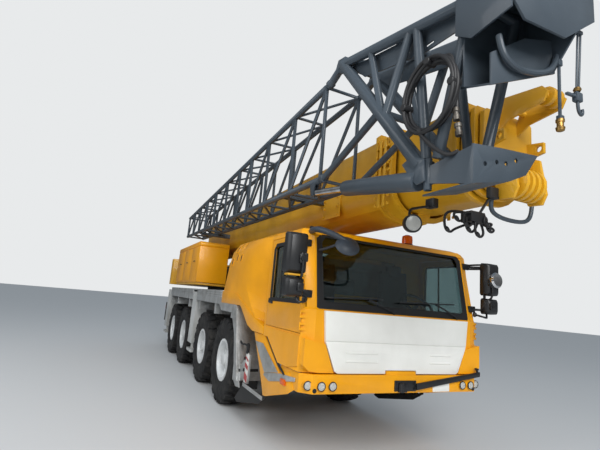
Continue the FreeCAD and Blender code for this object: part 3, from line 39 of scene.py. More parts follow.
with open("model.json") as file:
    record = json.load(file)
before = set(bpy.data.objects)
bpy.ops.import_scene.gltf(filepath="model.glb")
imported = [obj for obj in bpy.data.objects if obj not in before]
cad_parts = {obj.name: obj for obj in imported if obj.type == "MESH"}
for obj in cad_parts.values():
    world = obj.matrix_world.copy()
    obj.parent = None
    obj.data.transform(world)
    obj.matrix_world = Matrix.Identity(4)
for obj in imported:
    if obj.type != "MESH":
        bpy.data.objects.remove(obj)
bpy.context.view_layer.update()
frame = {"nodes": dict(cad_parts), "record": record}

SHIFT = 4.05          # a point given behind the bumper's face lies this far forward in the frame
HALF = 1275           # mm, from the middle to the carrier's side
TAIL = 10474          # mm, where the counterweight's bolt heads start, just inside its back
WHEEL_X = 1.0875
AXLE_Z = 0.685
WELD = 1e-5           # vertices closer than this are merged
SIDES = (("right", -1), ("left", 1))
WHEELS = [("%d_%s" % (number, side), sign, y)
          for number, y in enumerate((3.07, 4.72, 6.9, 8.55), 1) for side, sign in SIDES]


# Colour and node helpers

def linear(code):
    """A six-digit sRGB hex colour as linear RGBA."""
    parts = [int(code[i:i + 2], 16) / 255 for i in (0, 2, 4)]
    return (*(c / 12.92 if c <= 0.04045 else ((c + 0.055) / 1.055) ** 2.4 for c in parts), 1.0)


def add(tree, kind, inputs=None, stops=(), **settings):
    """One node: its settings, its inputs set or linked, and a ramp's (position, colour) stops."""
    made = tree.nodes.new(kind)
    for name, value in settings.items():
        setattr(made, name, value)
    for key, value in (inputs or {}).items():
        if isinstance(value, bpy.types.Node):
            value = value.outputs[0]
        if isinstance(value, bpy.types.NodeSocket):
            tree.links.new(value, made.inputs[key])
        else:
            made.inputs[key].default_value = value
    for i, (position, colour) in enumerate(stops):
        band = made.color_ramp.elements
        element = band[i] if i < len(band) else band.new(position)
        element.position = position
        element.color = colour if isinstance(colour, tuple) else (colour, colour, colour, 1.0)
    return made


def blank(name):
    """A new material, its empty tree and its object coordinates."""
    material = bpy.data.materials.new(name)
    material.use_nodes = True
    tree = material.node_tree
    tree.nodes.clear()
    return material, tree, add(tree, "ShaderNodeTexCoord").outputs["Object"]


def shade(material, inputs):
    """The material with its shader's inputs set or linked."""
    shader = add(material.node_tree, "ShaderNodeBsdfPrincipled", inputs)
    add(material.node_tree, "ShaderNodeOutputMaterial", {"Surface": shader})
    return material


def noise(tree, place, size_mm, detail, rough=0.55, stretch=(1, 1, 1)):
    """Noise whose blotches are size_mm across."""
    spread = add(tree, "ShaderNodeMapping", {"Vector": place, "Scale": stretch})
    return add(tree, "ShaderNodeTexNoise", {"Vector": spread, "Scale": 1000 / size_mm,
                                            "Detail": detail, "Roughness": rough})


def patches(tree, place, size_mm, detail, low, high, rough=0.55, ends=(0.0, 1.0), stretch=(1, 1, 1)):
    """A mask that runs between its two ends where the noise rises from low to high."""
    level = noise(tree, place, size_mm, detail, rough, stretch)
    return add(tree, "ShaderNodeValToRGB", {"Fac": level}, ((low, ends[0]), (high, ends[1])))


def enamel(name, code, dark, rough=0.32, chips=0.0, under="5A5A58", soil=0.35, coat=0.25):
    """Sprayed machine enamel over primer: a smooth gloss with faint orange peel and dents,
    streaks of road film that settle low down, and chips down to the primer where asked."""
    material, tree, place = blank(name)
    base = add(tree, "ShaderNodeMix", {0: patches(tree, place, 900, 4, 0.35, 0.7), 6: linear(code),
                                       7: linear(dark)}, data_type="RGBA")
    # Road film has a soft upper edge about a metre and a half up
    height = add(tree, "ShaderNodeSeparateXYZ", {"Vector": place}).outputs["Z"]
    low = add(tree, "ShaderNodeMapRange", {"Value": height, "From Min": 0.5, "From Max": 1.9,
                                           "To Min": 1.0, "To Max": 0.0})
    streak = patches(tree, place, 160, 5, 0.42, 0.68, 0.65, (0.15, 1.0), (1, 1, 0.25))
    film = add(tree, "ShaderNodeMath", {0: low, 1: streak}, operation="MULTIPLY")
    film = add(tree, "ShaderNodeMath", {0: film, 1: soil}, operation="MULTIPLY")
    base = add(tree, "ShaderNodeMix", {0: film, 6: base.outputs[2], 7: linear("6E6558")},
               data_type="RGBA")
    if chips:
        edge = 0.72 - chips * 0.12
        speck = patches(tree, place, 45, 6, edge, edge + 0.02, 0.7)
        base = add(tree, "ShaderNodeMix", {0: speck, 6: base.outputs[2], 7: linear(under)},
                   data_type="RGBA")
    gloss = add(tree, "ShaderNodeMapRange", {"Value": noise(tree, place, 260, 4), "From Min": 0.3,
                                             "From Max": 0.75, "To Min": rough,
                                             "To Max": rough + 0.2})
    peel = add(tree, "ShaderNodeBump", {"Strength": 0.06, "Distance": 0.002,
                                        "Height": noise(tree, place, 6, 2)})
    dents = add(tree, "ShaderNodeBump", {"Strength": 0.25, "Distance": 0.006, "Normal": peel,
                                         "Height": noise(tree, place, 420, 2)})
    return shade(material, {"Base Color": base.outputs[2], "Roughness": gloss, "Normal": dents,
                            "Specular IOR Level": 0.38, "Coat Weight": coat,
                            "Coat Roughness": 0.12})


def mottled(name, pale, deep, patch, rough, grain=None, metallic=0.0, specular=0.5):
    """Two linear colours in patches of (mm, detail, low, high, roughness), over a grain of
    bumps of (mm, detail, strength, depth in m)."""
    material, tree, place = blank(name)
    base = add(tree, "ShaderNodeMix", {0: patches(tree, place, *patch), 6: pale, 7: deep},
               data_type="RGBA")
    inputs = {"Base Color": base.outputs[2], "Metallic": metallic, "Roughness": rough,
              "Specular IOR Level": specular}
    if grain:
        size_mm, detail, strength, depth = grain
        inputs["Normal"] = add(tree, "ShaderNodeBump", {
            "Strength": strength, "Distance": depth, "Height": noise(tree, place, size_mm, detail)})
    return shade(material, inputs)


def plastic(name, code, rough, grain_mm=3.0, strength=0.2):
    """Injection-moulded plastic with a leather-like grain that breaks up its sheen."""
    pale, deep = ((*(c * share for c in linear(code)[:3]), 1.0) for share in (0.85, 1.2))
    return mottled(name, pale, deep, (300, 4, 0.3, 0.7), rough, (grain_mm, 2, strength, 0.0008))


def bare_steel(name, code, dark, rough):
    """Bare or plated steel gone dull: a metal with darker stains where grease holds dust."""
    return mottled(name, linear(code), linear(dark), (60, 5, 0.38, 0.68, 0.65), rough,
                   (5, 3, 0.3, 0.001), 0.85)


def tread_plate():
    """Rolled aluminium tread plate, dulled by weather: raised lozenges two ways about."""
    material, tree, place = blank("rolled aluminium tread plate")
    heights = []
    for turn in (0.785, -0.785):
        spun = add(tree, "ShaderNodeMapping", {"Vector": place, "Rotation": (0, 0, turn),
                                               "Scale": (1 / 0.042, 1 / 0.014, 1 / 0.042)})
        cells = add(tree, "ShaderNodeTexVoronoi", {"Vector": spun, "Scale": 1.0,
                                                   "Randomness": 0.0}, feature="F1")
        heights.append(add(tree, "ShaderNodeMapRange", {
            "Value": cells, "From Min": 0.3, "From Max": 0.42, "To Min": 1.0, "To Max": 0.0}))
    both = add(tree, "ShaderNodeMath", dict(enumerate(heights)), operation="MAXIMUM")
    stain = patches(tree, place, 200, 5, 0.35, 0.7, 0.65)
    base = add(tree, "ShaderNodeMix", {0: stain, 6: linear("B4B6B6"), 7: linear("8B8B88")},
               data_type="RGBA")
    bump = add(tree, "ShaderNodeBump", {"Strength": 0.6, "Distance": 0.002, "Height": both})
    return shade(material, {"Base Color": base.outputs[2], "Metallic": 0.55, "Roughness": 0.48,
                            "Normal": bump})


def cab_pane():
    """Laminated safety glass: a tinted sheet that mirrors the sky, with a dusty film."""
    material, tree, place = blank("tinted laminated glass")
    film = patches(tree, place, 350, 4, 0.4, 0.8, ends=(0.0, 0.05))
    return shade(material, {"Base Color": linear("8FA3A4"), "Roughness": film,
                            "Transmission Weight": 1.0, "IOR": 1.5})


def lens(name, code, clear):
    """A moulded lamp lens: fine upright flutes 6 mm apart that scatter what lies behind."""
    material, tree, place = blank(name)
    flutes = add(tree, "ShaderNodeTexWave", {"Vector": place, "Scale": 1000 / 6 / 6.28,
                                             "Distortion": 0.0}, bands_direction="X")
    bump = add(tree, "ShaderNodeBump", {"Strength": 0.3, "Distance": 0.001,
                                        "Height": flutes.outputs["Fac"]})
    return shade(material, {"Base Color": linear(code), "Transmission Weight": clear,
                            "Roughness": 0.12, "IOR": 1.5, "Normal": bump})


MATERIALS = {}


def finishes(colours):
    """Makes every finish once."""
    casting = mottled("dirty painted casting", linear("4A4B4B"), linear("33302C"),
                      (130, 6, 0.35, 0.65, 0.7), 0.66, (18, 4, 0.4, 0.003))
    MATERIALS.update({
        "cab_yellow": enamel("cab orange enamel", colours.cab, colours.cab_shade, 0.3, soil=0.1,
                             coat=0.12),
        "boom_yellow": enamel("boom ochre enamel", colours.boom, colours.boom_shade, 0.4, 0.3,
                              "5B554B"),
        "panel_white": enamel("front panel white enamel", colours.panel, "DADAD4", 0.3, soil=0.08),
        "jib_slate": enamel("jib slate enamel", colours.jib, "343D45", 0.42, 0.3, "6A7074"),
        "wheel_silver": enamel("wheel silver enamel", "E2E5E6", "BFC1C1", 0.33, 0.2, "8A8480"),
        "outrigger_grey": enamel("outrigger grey enamel", "C6C8C6", "A4A6A4", 0.4, 0.2, "6A6660",
                                 0.5),
        "red_film": enamel("red marker film", "B4181C", "8E1416", 0.4, soil=0.3),
        "white_film": enamel("white marker film", "E2E2DE", "CFCFCA", 0.4, soil=0.3),
        # Painted cast iron and chassis steel: satin grey under oily road dirt
        "axle_grey": casting,
        "engine_grey": casting,
        "deck_aluminium": tread_plate(),
        # Moulded tyre rubber, carbon black: nearly matt, grey where mud has dried
        "tyre": mottled("moulded tyre rubber", linear("1B1B1C"), linear("3B3936"),
                        (120, 5, 0.45, 0.75, 0.65), 0.78, (12, 4, 0.35, 0.002), 0.0, 0.35),
        "glass": cab_pane(),
        "lens": lens("clear lamp glass", "F4F4EE", 0.6),
        "amber": lens("amber lamp plastic", "F06A10", 0.35),
        "red_lens": lens("red lamp plastic", "B01410", 0.3),
        "black_plastic": plastic("black moulded plastic", "17181A", 0.42),
        "slate_plastic": plastic("slate moulded plastic", "343B44", 0.5),
        "interior": plastic("charcoal trim plastic", "2B2D30", 0.7),
        "seat_cloth": plastic("charcoal seat cloth", "33363A", 0.9, 5.0, 0.5),
        "hose": plastic("black rubber hose", "1C1C1E", 0.55, 4.0, 0.3),
        "rubber": plastic("black rubber seal", "141415", 0.62, 2.5, 0.25),
        # Ground and hard-chromed rod: a mirror finish under a thin film of oil
        "chrome": mottled("hard-chromed cylinder rod", linear("D8DADC"), linear("9C9894"),
                          (90, 4, 0.4, 0.8), 0.14, metallic=1.0),
        "rope": bare_steel("greased wire rope", "6E6A64", "3E3A36", 0.5),
        "brass": bare_steel("brass hose ends", "B08A4A", "6E5A3A", 0.4),
    })


# The finish of each CAD node by the first part of its name
NODE_FINISH = (
    ("glass", ("cab_glass", "cab_door_glass", "operator_glass")), ("interior", ("cab_interior",)),
    ("cab_yellow", ("cab_shell", "cab_door", "bumper", "engine_covers", "operator")),
    ("boom_yellow", ("superstructure", "counterweight", "boom", "luff_barrel")),
    ("axle_grey", ("steering_knuckle", "suspension", "chassis", "hoist_drum")),
    ("engine_grey", ("engine",)), ("outrigger_grey", ("outrigger",)), ("chrome", ("luff_rod",)),
    ("panel_white", ("front_panel",)), ("deck_aluminium", ("mudguards",)), ("tyre", ("tyre",)),
    ("wheel_silver", ("wheel_rim",)), ("jib_slate", ("jib",)), ("black_plastic", ("mirrors",)),
)


# Mesh helpers. Points are in mm, their y measured back from the bumper's face

def at(x, y, z):
    """A point in mm as metres in the frame."""
    return Vector((x / 1000, y / 1000 - SHIFT, z / 1000))


def flank(x, loop):
    """A loop of (y, z) laid on the upright plane at x."""
    return [(x, y, z) for y, z in loop]


def piece(name, mesh, body, slot):
    """A finished mesh as a piece that rides on a body and takes that slot's finish."""
    if not mesh.materials:
        mesh.materials.append(MATERIALS[slot])
    made = bpy.data.objects.new(name, mesh)
    bpy.context.scene.collection.objects.link(made)
    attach(made, body)
    return made


def clean_mesh(name, form):
    """A bmesh made into a mesh, its doubles merged and its faces turned out."""
    bmesh.ops.remove_doubles(form, verts=form.verts, dist=WELD)
    bmesh.ops.recalc_face_normals(form, faces=form.faces)
    mesh = bpy.data.meshes.new(name)
    form.to_mesh(mesh)
    form.free()
    return mesh


def done(name, form, body, slot, finish=None, sharp=32):
    """The form as a finished piece: smooth but for edges sharper than the angle given."""
    mesh = clean_mesh(name, form)
    mesh.materials.append(MATERIALS[finish or slot])
    for polygon in mesh.polygons:
        polygon.use_smooth = True
    mesh.set_sharp_from_angle(angle=math.radians(sharp))
    return piece(name, mesh, body, slot)


def mirrored(form):
    """Adds the same shapes on the vehicle's other side."""
    copy = bmesh.ops.duplicate(form, geom=form.verts[:] + form.edges[:] + form.faces[:])["geom"]
    for part in copy:
        if isinstance(part, bmesh.types.BMVert):
            part.co.x = -part.co.x


def fit(name, body, slot, *shapes, finish=None, sharp=32, both=False):
    """A piece made of shapes, each given as its function and what that takes after the form."""
    form = bmesh.new()
    for shape, *given in shapes:
        shape(form, *given)
    if both:
        mirrored(form)
    return done(name, form, body, slot, finish, sharp)


def bridge(form, rings, closed=False):
    """Faces from each ring of vertices to the next, and back to the first where closed."""
    for a, b in zip(rings, rings[1:] + rings[:1] if closed else rings[1:]):
        for i in range(len(a)):
            j = (i + 1) % len(a)
            form.faces.new((a[i], a[j], b[j], b[i]))


def prism(form, corners, way):
    """A closed prism in metres: a flat loop of points drawn along way. Gives its vertices."""
    near = [form.verts.new(corner) for corner in corners]
    far = [form.verts.new(Vector(corner) + way) for corner in corners]
    form.faces.new(near)
    form.faces.new(list(reversed(far)))
    bridge(form, [near, far])
    return near + far


def lathe(form, profile, sides, closed=False):
    """A profile of (radius, outward) pairs in metres turned about the X axis."""
    turns = [2 * math.pi * i / sides for i in range(sides)]
    bridge(form, [[form.verts.new((outward, radius * math.cos(turn), radius * math.sin(turn)))
                   for turn in turns] for radius, outward in profile], closed)


def rounded(form, made, soft):
    """Rounds the edges of the vertices just made by soft mm."""
    if soft:
        made = set(made)
        edges = [edge for edge in form.edges if made.issuperset(edge.verts)]
        bmesh.ops.bevel(form, geom=edges, offset=soft / 1000, segments=2, profile=0.5,
                        affect="EDGES", clamp_overlap=True)


def brick(form, low, high, soft=0.0):
    """A block between two corners, its edges rounded by soft mm."""
    low, high = at(*low), at(*high)
    place = (Matrix.Translation((low + high) / 2)
             @ Matrix.Diagonal((*(abs(side) for side in high - low), 1)))
    rounded(form, bmesh.ops.create_cube(form, size=1.0, matrix=place)["verts"], soft)


def spar(form, p, q, width, height, soft=0.0):
    """A block from p to q, width across and height up, its edges rounded."""
    p, q = at(*p), at(*q)
    way = q - p
    place = (Matrix.Translation((p + q) / 2) @ way.to_track_quat("X", "Z").to_matrix().to_4x4()
             @ Matrix.Diagonal((way.length, width / 1000, height / 1000, 1)))
    rounded(form, bmesh.ops.create_cube(form, size=1.0, matrix=place)["verts"], soft)


def plank(form, loop, depth, soft=0.0):
    """A flat loop of points drawn along depth, its edges rounded."""
    rounded(form, prism(form, [at(*corner) for corner in loop], Vector(depth) / 1000), soft)


def band(form, outer, inner, depth):
    """A flat frame between two loops of as many points, drawn along depth."""
    far = Vector(depth) / 1000
    bridge(form, [[form.verts.new(at(*corner) + way) for corner in loop] for loop, way in (
        (outer, Vector()), (outer, far), (inner, far), (inner, Vector()))], closed=True)


def turned(form, profile, origin, axis, sides=24):
    """A profile of (radius, along) pairs turned about an axis, its ends closed."""
    axis = Vector(axis).normalized()
    across = axis.orthogonal().normalized()
    third = axis.cross(across)
    rings = []
    for radius, along in profile:
        middle = at(*origin) + axis * along / 1000
        turns = [2 * math.pi * i / sides for i in range(sides if radius else 1)]
        rings.append([form.verts.new(middle + (across * math.cos(turn) + third * math.sin(turn))
                                     * radius / 1000) for turn in turns])
    for a, b in zip(rings, rings[1:]):
        for i in range(sides):
            j = (i + 1) % sides
            corners = (a[i % len(a)], a[j % len(a)], b[j % len(b)], b[i % len(b)])
            form.faces.new(list(dict.fromkeys(corners)))
    for ring in (rings[0], rings[-1]):
        if len(ring) > 1:
            form.faces.new(ring)


def pipe(form, points, radius, smooth=True, sides=3):
    """A bent tube or hose through points, swept along a curve and added to the form."""
    line = bpy.data.curves.new("bent tube", "CURVE")
    line.dimensions = "3D"
    spline = line.splines.new("NURBS" if smooth else "POLY")
    spline.points.add(len(points) - 1)
    for target, point in zip(spline.points, points):
        target.co = (*at(*point), 1)
    if smooth:
        spline.order_u = 3
        spline.use_endpoint_u = True
    line.resolution_u = 5
    line.bevel_depth = radius / 1000
    line.bevel_resolution = sides
    line.use_fill_caps = True
    holder = bpy.data.objects.new("bent tube", line)
    bpy.context.scene.collection.objects.link(holder)
    graph = bpy.context.evaluated_depsgraph_get()
    form.from_mesh(bpy.data.meshes.new_from_object(holder.evaluated_get(graph)))
    bpy.data.objects.remove(holder)


# Geometry Nodes that repeat a shape

def ring(tree, given):
    """Points on the axle, each turned about X by its share of a full turn."""
    share = add(tree, "ShaderNodeMath", {0: add(tree, "GeometryNodeInputIndex"),
                                         1: given["Copies"]}, operation="DIVIDE")
    turn = add(tree, "ShaderNodeMath", {0: share, 1: 2 * math.pi, 2: given["Start turn"]},
               operation="MULTIPLY_ADD")
    about = add(tree, "ShaderNodeCombineXYZ", {"X": turn})
    return {"Points": add(tree, "GeometryNodePoints", {"Count": given["Copies"]}),
            "Rotation": add(tree, "FunctionNodeEulerToRotation", {"Euler": about})}


def row(tree, given):
    """Points in a straight row, a step apart."""
    return {"Points": add(tree, "GeometryNodeMeshLine", {"Count": given["Copies"],
                                                         "Offset": given["Step"]}, mode="OFFSET")}


def copy_tree(spread, label, kind):
    """A tree that sets copies of the incoming mesh on points and makes them plain geometry."""
    tree = bpy.data.node_groups.new("copies in a " + spread.__name__, "GeometryNodeTree")
    for name, socket in (("Geometry", "Geometry"), ("Copies", "Int"), (label, kind),
                         ("Finish", "Material")):
        tree.interface.new_socket(name, in_out="INPUT", socket_type="NodeSocket" + socket)
    tree.interface.new_socket("Geometry", in_out="OUTPUT", socket_type="NodeSocketGeometry")
    given = add(tree, "NodeGroupInput").outputs
    copies = add(tree, "GeometryNodeInstanceOnPoints", {"Instance": given["Geometry"],
                                                        **spread(tree, given)})
    real = add(tree, "GeometryNodeRealizeInstances", {"Geometry": copies})
    add(tree, "NodeGroupOutput", {"Geometry": add(tree, "GeometryNodeSetMaterial", {
        "Geometry": real, "Material": given["Finish"]})})
    return tree


TREES = {}


def repeated(form, spread, copies, step, finish):
    """A shape repeated, as a plain mesh. step is a ring's start turn or a row's step in metres."""
    label, kind = {ring: ("Start turn", "Float"), row: ("Step", "Vector")}[spread]
    if spread not in TREES:
        TREES[spread] = copy_tree(spread, label, kind)
    seed = bpy.data.objects.new("seed shape", clean_mesh("seed shape", form))
    bpy.context.scene.collection.objects.link(seed)
    modifier = seed.modifiers.new("copies", "NODES")
    modifier.node_group = TREES[spread]
    for item in TREES[spread].interface.items_tree:
        if item.in_out == "INPUT" and item.name != "Geometry":
            modifier[item.identifier] = {"Copies": copies, label: step,
                                         "Finish": MATERIALS[finish]}[item.name]
    bpy.context.view_layer.update()
    graph = bpy.context.evaluated_depsgraph_get()
    mesh = bpy.data.meshes.new_from_object(seed.evaluated_get(graph))
    seed.modifiers.remove(modifier)
    bpy.data.objects.remove(seed)
    return mesh


def on_wheels(name, body_slot, meshes):
    """The meshes joined, with the slot's finish, as a piece on each wheel. They are made about
    the X axis with their outside towards +X."""
    for tag, sign, y in WHEELS:
        form = bmesh.new()
        for mesh in meshes:
            form.from_mesh(mesh)
        turn = Matrix.Rotation(math.pi if sign < 0 else 0.0, 4, "Z")
        form.transform(Matrix.Translation((sign * WHEEL_X, y - SHIFT, AXLE_Z)) @ turn)
        joined = bpy.data.meshes.new(name + tag)
        form.to_mesh(joined)
        form.free()
        yield tag, piece(name + tag, joined, "wheel_" + tag, body_slot)


# Sizes and colours that a user may change

class CraneColours(PropertyGroup):
    cab: StringProperty(name="Cab", default="F0A400", description="Cab enamel, sRGB hex")
    cab_shade: StringProperty(name="Cab shade", default="D89200",
                              description="Cab enamel where it has faded, sRGB hex")
    boom: StringProperty(name="Boom", default="D9A21B", description="Boom enamel, sRGB hex")
    boom_shade: StringProperty(name="Boom shade", default="BD8A17",
                               description="Boom enamel where it has faded, sRGB hex")
    panel: StringProperty(name="Front panel", default="E9E9E4",
                          description="Front panel enamel, sRGB hex")
    jib: StringProperty(name="Jib", default="424C55", description="Jib enamel, sRGB hex")


class CraneTyres(PropertyGroup):
    lugs: IntProperty(name="Lugs", description="Tread lugs on each shoulder of a tyre",
                      default=20, min=8, max=60)
    radius: FloatProperty(name="Radius", description="From the axle to the top of the lugs",
                          default=0.684, unit="LENGTH")
    groove: FloatProperty(name="Groove", description="Depth of the tread between the lugs",
                          default=0.027, unit="LENGTH")


class CraneCamera(PropertyGroup):
    place: FloatVectorProperty(name="Place", description="Where the camera stands", size=3,
                               default=(-3.228, -7.917, 1.771), subtype="XYZ", unit="LENGTH")
    turn: FloatVectorProperty(name="Turn", description="Yaw, pitch and roll", size=3,
                              default=[math.radians(a) for a in (-24.744, 10.453, 5.028)],
                              subtype="EULER")
    lens: FloatProperty(name="Lens", description="Focal length for a 36 mm wide sensor",
                        default=24.384, min=5.0)


# Pieces

class CRANE_OT_finishes(Operator):
    """Make the paints and other finishes and put them on the CAD nodes"""
    bl_idname = "crane.finishes"
    bl_label = "Finishes"

    def execute(self, context):
        finishes(context.scene.crane_colours)
        for name, node in frame["nodes"].items():
            slot = next(slot for slot, parts in NODE_FINISH if name.startswith(parts))
            node.data.materials.clear()
            node.data.materials.append(MATERIALS[slot])
        return {"FINISHED"}


TYRE_WALL = ((0.3178, 0.147), (0.330, 0.150), (0.352, 0.150), (0.375, 0.166), (0.43, 0.1835),
             (0.50, 0.1873), (0.57, 0.184), (0.62, 0.1755), (0.645, 0.168), (0.657, 0.150))
# A left and a right lug as loops of (turn in pitches, outward), chunky and slightly skewed
LUGS = (((0.06, 0.176), (0.58, 0.176), (0.64, 0.085), (0.50, 0.022), (0.12, 0.022), (0.0, 0.085)),
        ((0.56, -0.176), (1.08, -0.176), (1.14, -0.085), (1.0, -0.022), (0.62, -0.022),
         (0.5, -0.085)))


def lug_shape(settings):
    """One pair of tread lugs, from the shoulder to the middle, at the top of the tyre."""
    form = bmesh.new()
    pitch = 2 * math.pi / settings.lugs
    root = settings.radius - settings.groove
    for loop in LUGS:
        centre = sum(turn for turn, out in loop) / len(loop)
        levels = []
        for radius, grow in ((root - 0.006, 1.12), (settings.radius - 0.004, 1.0),
                             (settings.radius, 0.93)):
            level = []
            for turn, out in loop:
                angle = (centre + (turn - centre) * grow) * pitch
                reach = radius - (0.010 if abs(out) > 0.17 and radius > root else 0.0)
                level.append(form.verts.new((out * (0.97 if grow < 1 else 1.0),
                                             reach * math.cos(angle), reach * math.sin(angle))))
            levels.append(level)
        form.faces.new(levels[0])
        form.faces.new(levels[-1])
        bridge(form, levels)
    return form


def wall_rib(settings):
    """The rib that runs down the side wall under each lug."""
    form = bmesh.new()
    pitch = 2 * math.pi / settings.lugs
    for side, start in ((1, 0.1), (-1, 0.6)):
        prism(form, [(side * out, radius * math.cos((start + turn) * pitch),
                      radius * math.sin((start + turn) * pitch)) for radius, turn, out in (
                          (0.665, 0, 0.170), (0.665, 0.42, 0.170), (0.600, 0.36, 0.180),
                          (0.600, 0.06, 0.180))], Vector((side * 0.006, 0, 0)))
    return form


class CRANE_OT_tyres(Operator):
    """Build the lugged tyres in place of the plain ones"""
    bl_idname = "crane.tyres"
    bl_label = "Tyres"

    def execute(self, context):
        settings = context.scene.crane_tyres
        form = bmesh.new()
        lathe(form, [*TYRE_WALL, (0.658, 0.0), *((radius, -out) for radius, out
                                                 in reversed(TYRE_WALL))], 88, closed=True)
        carcass = clean_mesh("carcass", form)
        for polygon in carcass.polygons:
            polygon.use_smooth = True
        tread = [repeated(shape(settings), ring, settings.lugs, 0.0, "tyre")
                 for shape in (lug_shape, wall_rib)]
        for tag, made in on_wheels("tyre_dressed_", "tyre", [carcass, *tread]):
            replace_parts(made, "tyre_" + tag)
        return {"FINISHED"}


# CAD nodes whose own shape is shown with softer edges: slot, rounding in mm, sharpest angle
DRESSED = (
    ("cab_shell", "cab_yellow", 6, 30), ("cab_door_left", "cab_yellow", 4, 30),
    ("cab_door_right", "cab_yellow", 4, 30), ("bumper", "cab_yellow", 6, 30),
    ("front_panel", "panel_white", 4, 30), ("engine_covers", "cab_yellow", 9, 32),
    ("superstructure_hood", "cab_yellow", 8, 30), ("superstructure_frame", "boom_yellow", 4, 30),
    ("counterweight", "boom_yellow", 10, 30), ("operator_cab", "cab_yellow", 6, 30),
    ("operator_door", "cab_yellow", 4, 30), ("mirrors", "black_plastic", 9, 40),
    ("mudguards", "deck_aluminium", 3, 30), ("boom_base", "boom_yellow", 4, 20),
    ("boom_section_1", "boom_yellow", 3, 20), ("boom_section_2", "boom_yellow", 3, 20),
    ("boom_section_3", "boom_yellow", 3, 20), ("boom_section_4", "boom_yellow", 3, 32),
    ("jib_lattice", "jib_slate", 0, 62), ("jib_head", "jib_slate", 2, 50),
    *(("wheel_rim_" + tag, "wheel_silver", 2, 28) for tag, sign, y in WHEELS),
)


class CRANE_OT_shells(Operator):
    """Round the pressed edges of the panels, the boom, the jib and the rims"""
    bl_idname = "crane.shells"
    bl_label = "Panels and boom"

    def execute(self, context):
        bodies = frame["record"]["behaviour"]["bodies"]
        for node, slot, soft, sharp in DRESSED:
            form = bmesh.new()
            form.from_mesh(frame["nodes"][node].data)
            bmesh.ops.remove_doubles(form, verts=form.verts, dist=WELD)
            bmesh.ops.dissolve_limit(form, angle_limit=math.radians(0.6), verts=form.verts,
                                     edges=form.edges)
            if soft:
                edges = [edge for edge in form.edges if edge.is_manifold
                         and edge.calc_face_angle(0.0) > math.radians(sharp)]
                bmesh.ops.bevel(form, geom=edges, offset=soft / 1000, segments=2, profile=0.5,
                                affect="EDGES", clamp_overlap=True)
            body = next(body for body, nodes in bodies.items() if node in nodes)
            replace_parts(done(node + "_dressed", form, body, slot, sharp=sharp), node)
        return {"FINISHED"}


def on_screen(loop, out):
    """A loop of (x, z) laid out mm in front of the windscreen's leaning face."""
    return [(x, 90 + 0.1908 * (z - 1712) - out, z) for x, z in loop]


SCREEN_EDGE = ((-1118, 1716), (-1100, 1702), (1100, 1702), (1118, 1716), (1112, 2490),
               (1040, 2552), (-1040, 2552), (-1112, 2490))
SCREEN_PANE = ((-1040, 1800), (-1000, 1778), (1000, 1778), (1040, 1800), (1046, 2450),
               (1000, 2512), (-1000, 2512), (-1046, 2450))
# Wipers as (x, z): the arm's foot, its hand and the blade's two ends
WIPERS = (((-99, 1722), (-446, 1846), (-1010, 1826), (-250, 1862)),
          ((906, 1722), (579, 1862), (-9, 1848), (880, 1884)))


class CRANE_OT_windscreen(Operator):
    """Fit the windscreen's black surround, its seal and the wipers"""
    bl_idname = "crane.windscreen"
    bl_label = "Windscreen"

    def execute(self, context):
        fit("windscreen_surround", "carrier", "black_plastic",
            (band, on_screen(SCREEN_EDGE, -2), on_screen(SCREEN_PANE, -2), (0, -7, 0)),
            (spar, (-1105, 82, 1697), (1105, 82, 1697), 16, 22, 5), sharp=40)
        seal = on_screen(SCREEN_PANE, 6)
        fit("windscreen_seal", "carrier", "black_plastic", (pipe, seal + seal[:1], 5, False),
            finish="rubber")
        shapes = []
        for wiper in WIPERS:
            foot, hand, low, high = on_screen(wiper, 30)
            shapes += ((turned, ((24, -22), (24, 0), (18, 8), (0, 10)), foot, (0, -1, 0.19), 16),
                       (spar, foot, hand, 10, 20, 4), (spar, low, high, 9, 16, 3),
                       (spar, *on_screen(wiper[2:], 18), 20, 6, 1),
                       (turned, ((14, -12), (14, 10), (0, 12)), hand, (0, -1, 0.19), 12))
        fit("wipers", "carrier", "black_plastic", *shapes)
        return {"FINISHED"}


def door_loop(x, grow):
    """The door window's outline at x, let out by grow mm."""
    return flank(x, ((230 - grow, 1760 - grow), (370 - grow, 2440 + grow), (1020, 2440 + grow),
                     (1060 + grow, 2400), (1060 + grow, 1760 - grow)))


class CRANE_OT_doors(Operator):
    """Fit the doors' window seals and handles"""
    bl_idname = "crane.door_trim"
    bl_label = "Door trim"

    def execute(self, context):
        for side, sign in SIDES:
            x = sign * HALF
            # The seal, and the drop bar that divides the pane
            fit("door_seal_" + side, "door_" + side, "black_plastic",
                (band, door_loop(x + sign * 5, 26), door_loop(x + sign * 5, -20),
                 (-sign * 12, 0, 0)),
                (spar, (x - sign * 2, 770, 1770), (x - sign * 2, 790, 2430), 10, 26, 3),
                finish="rubber")
            fit("door_handle_" + side, "door_" + side, "black_plastic",
                (plank, flank(x - sign * 3, ((985, 1700), (985, 1760), (1115, 1768), (1115, 1708))),
                 (sign * 16, 0, 0), 6),
                (pipe, ((x, 1000, 1728), (x + sign * 26, 1010, 1730), (x + sign * 26, 1090, 1736),
                        (x, 1100, 1738)), 8))
        return {"FINISHED"}


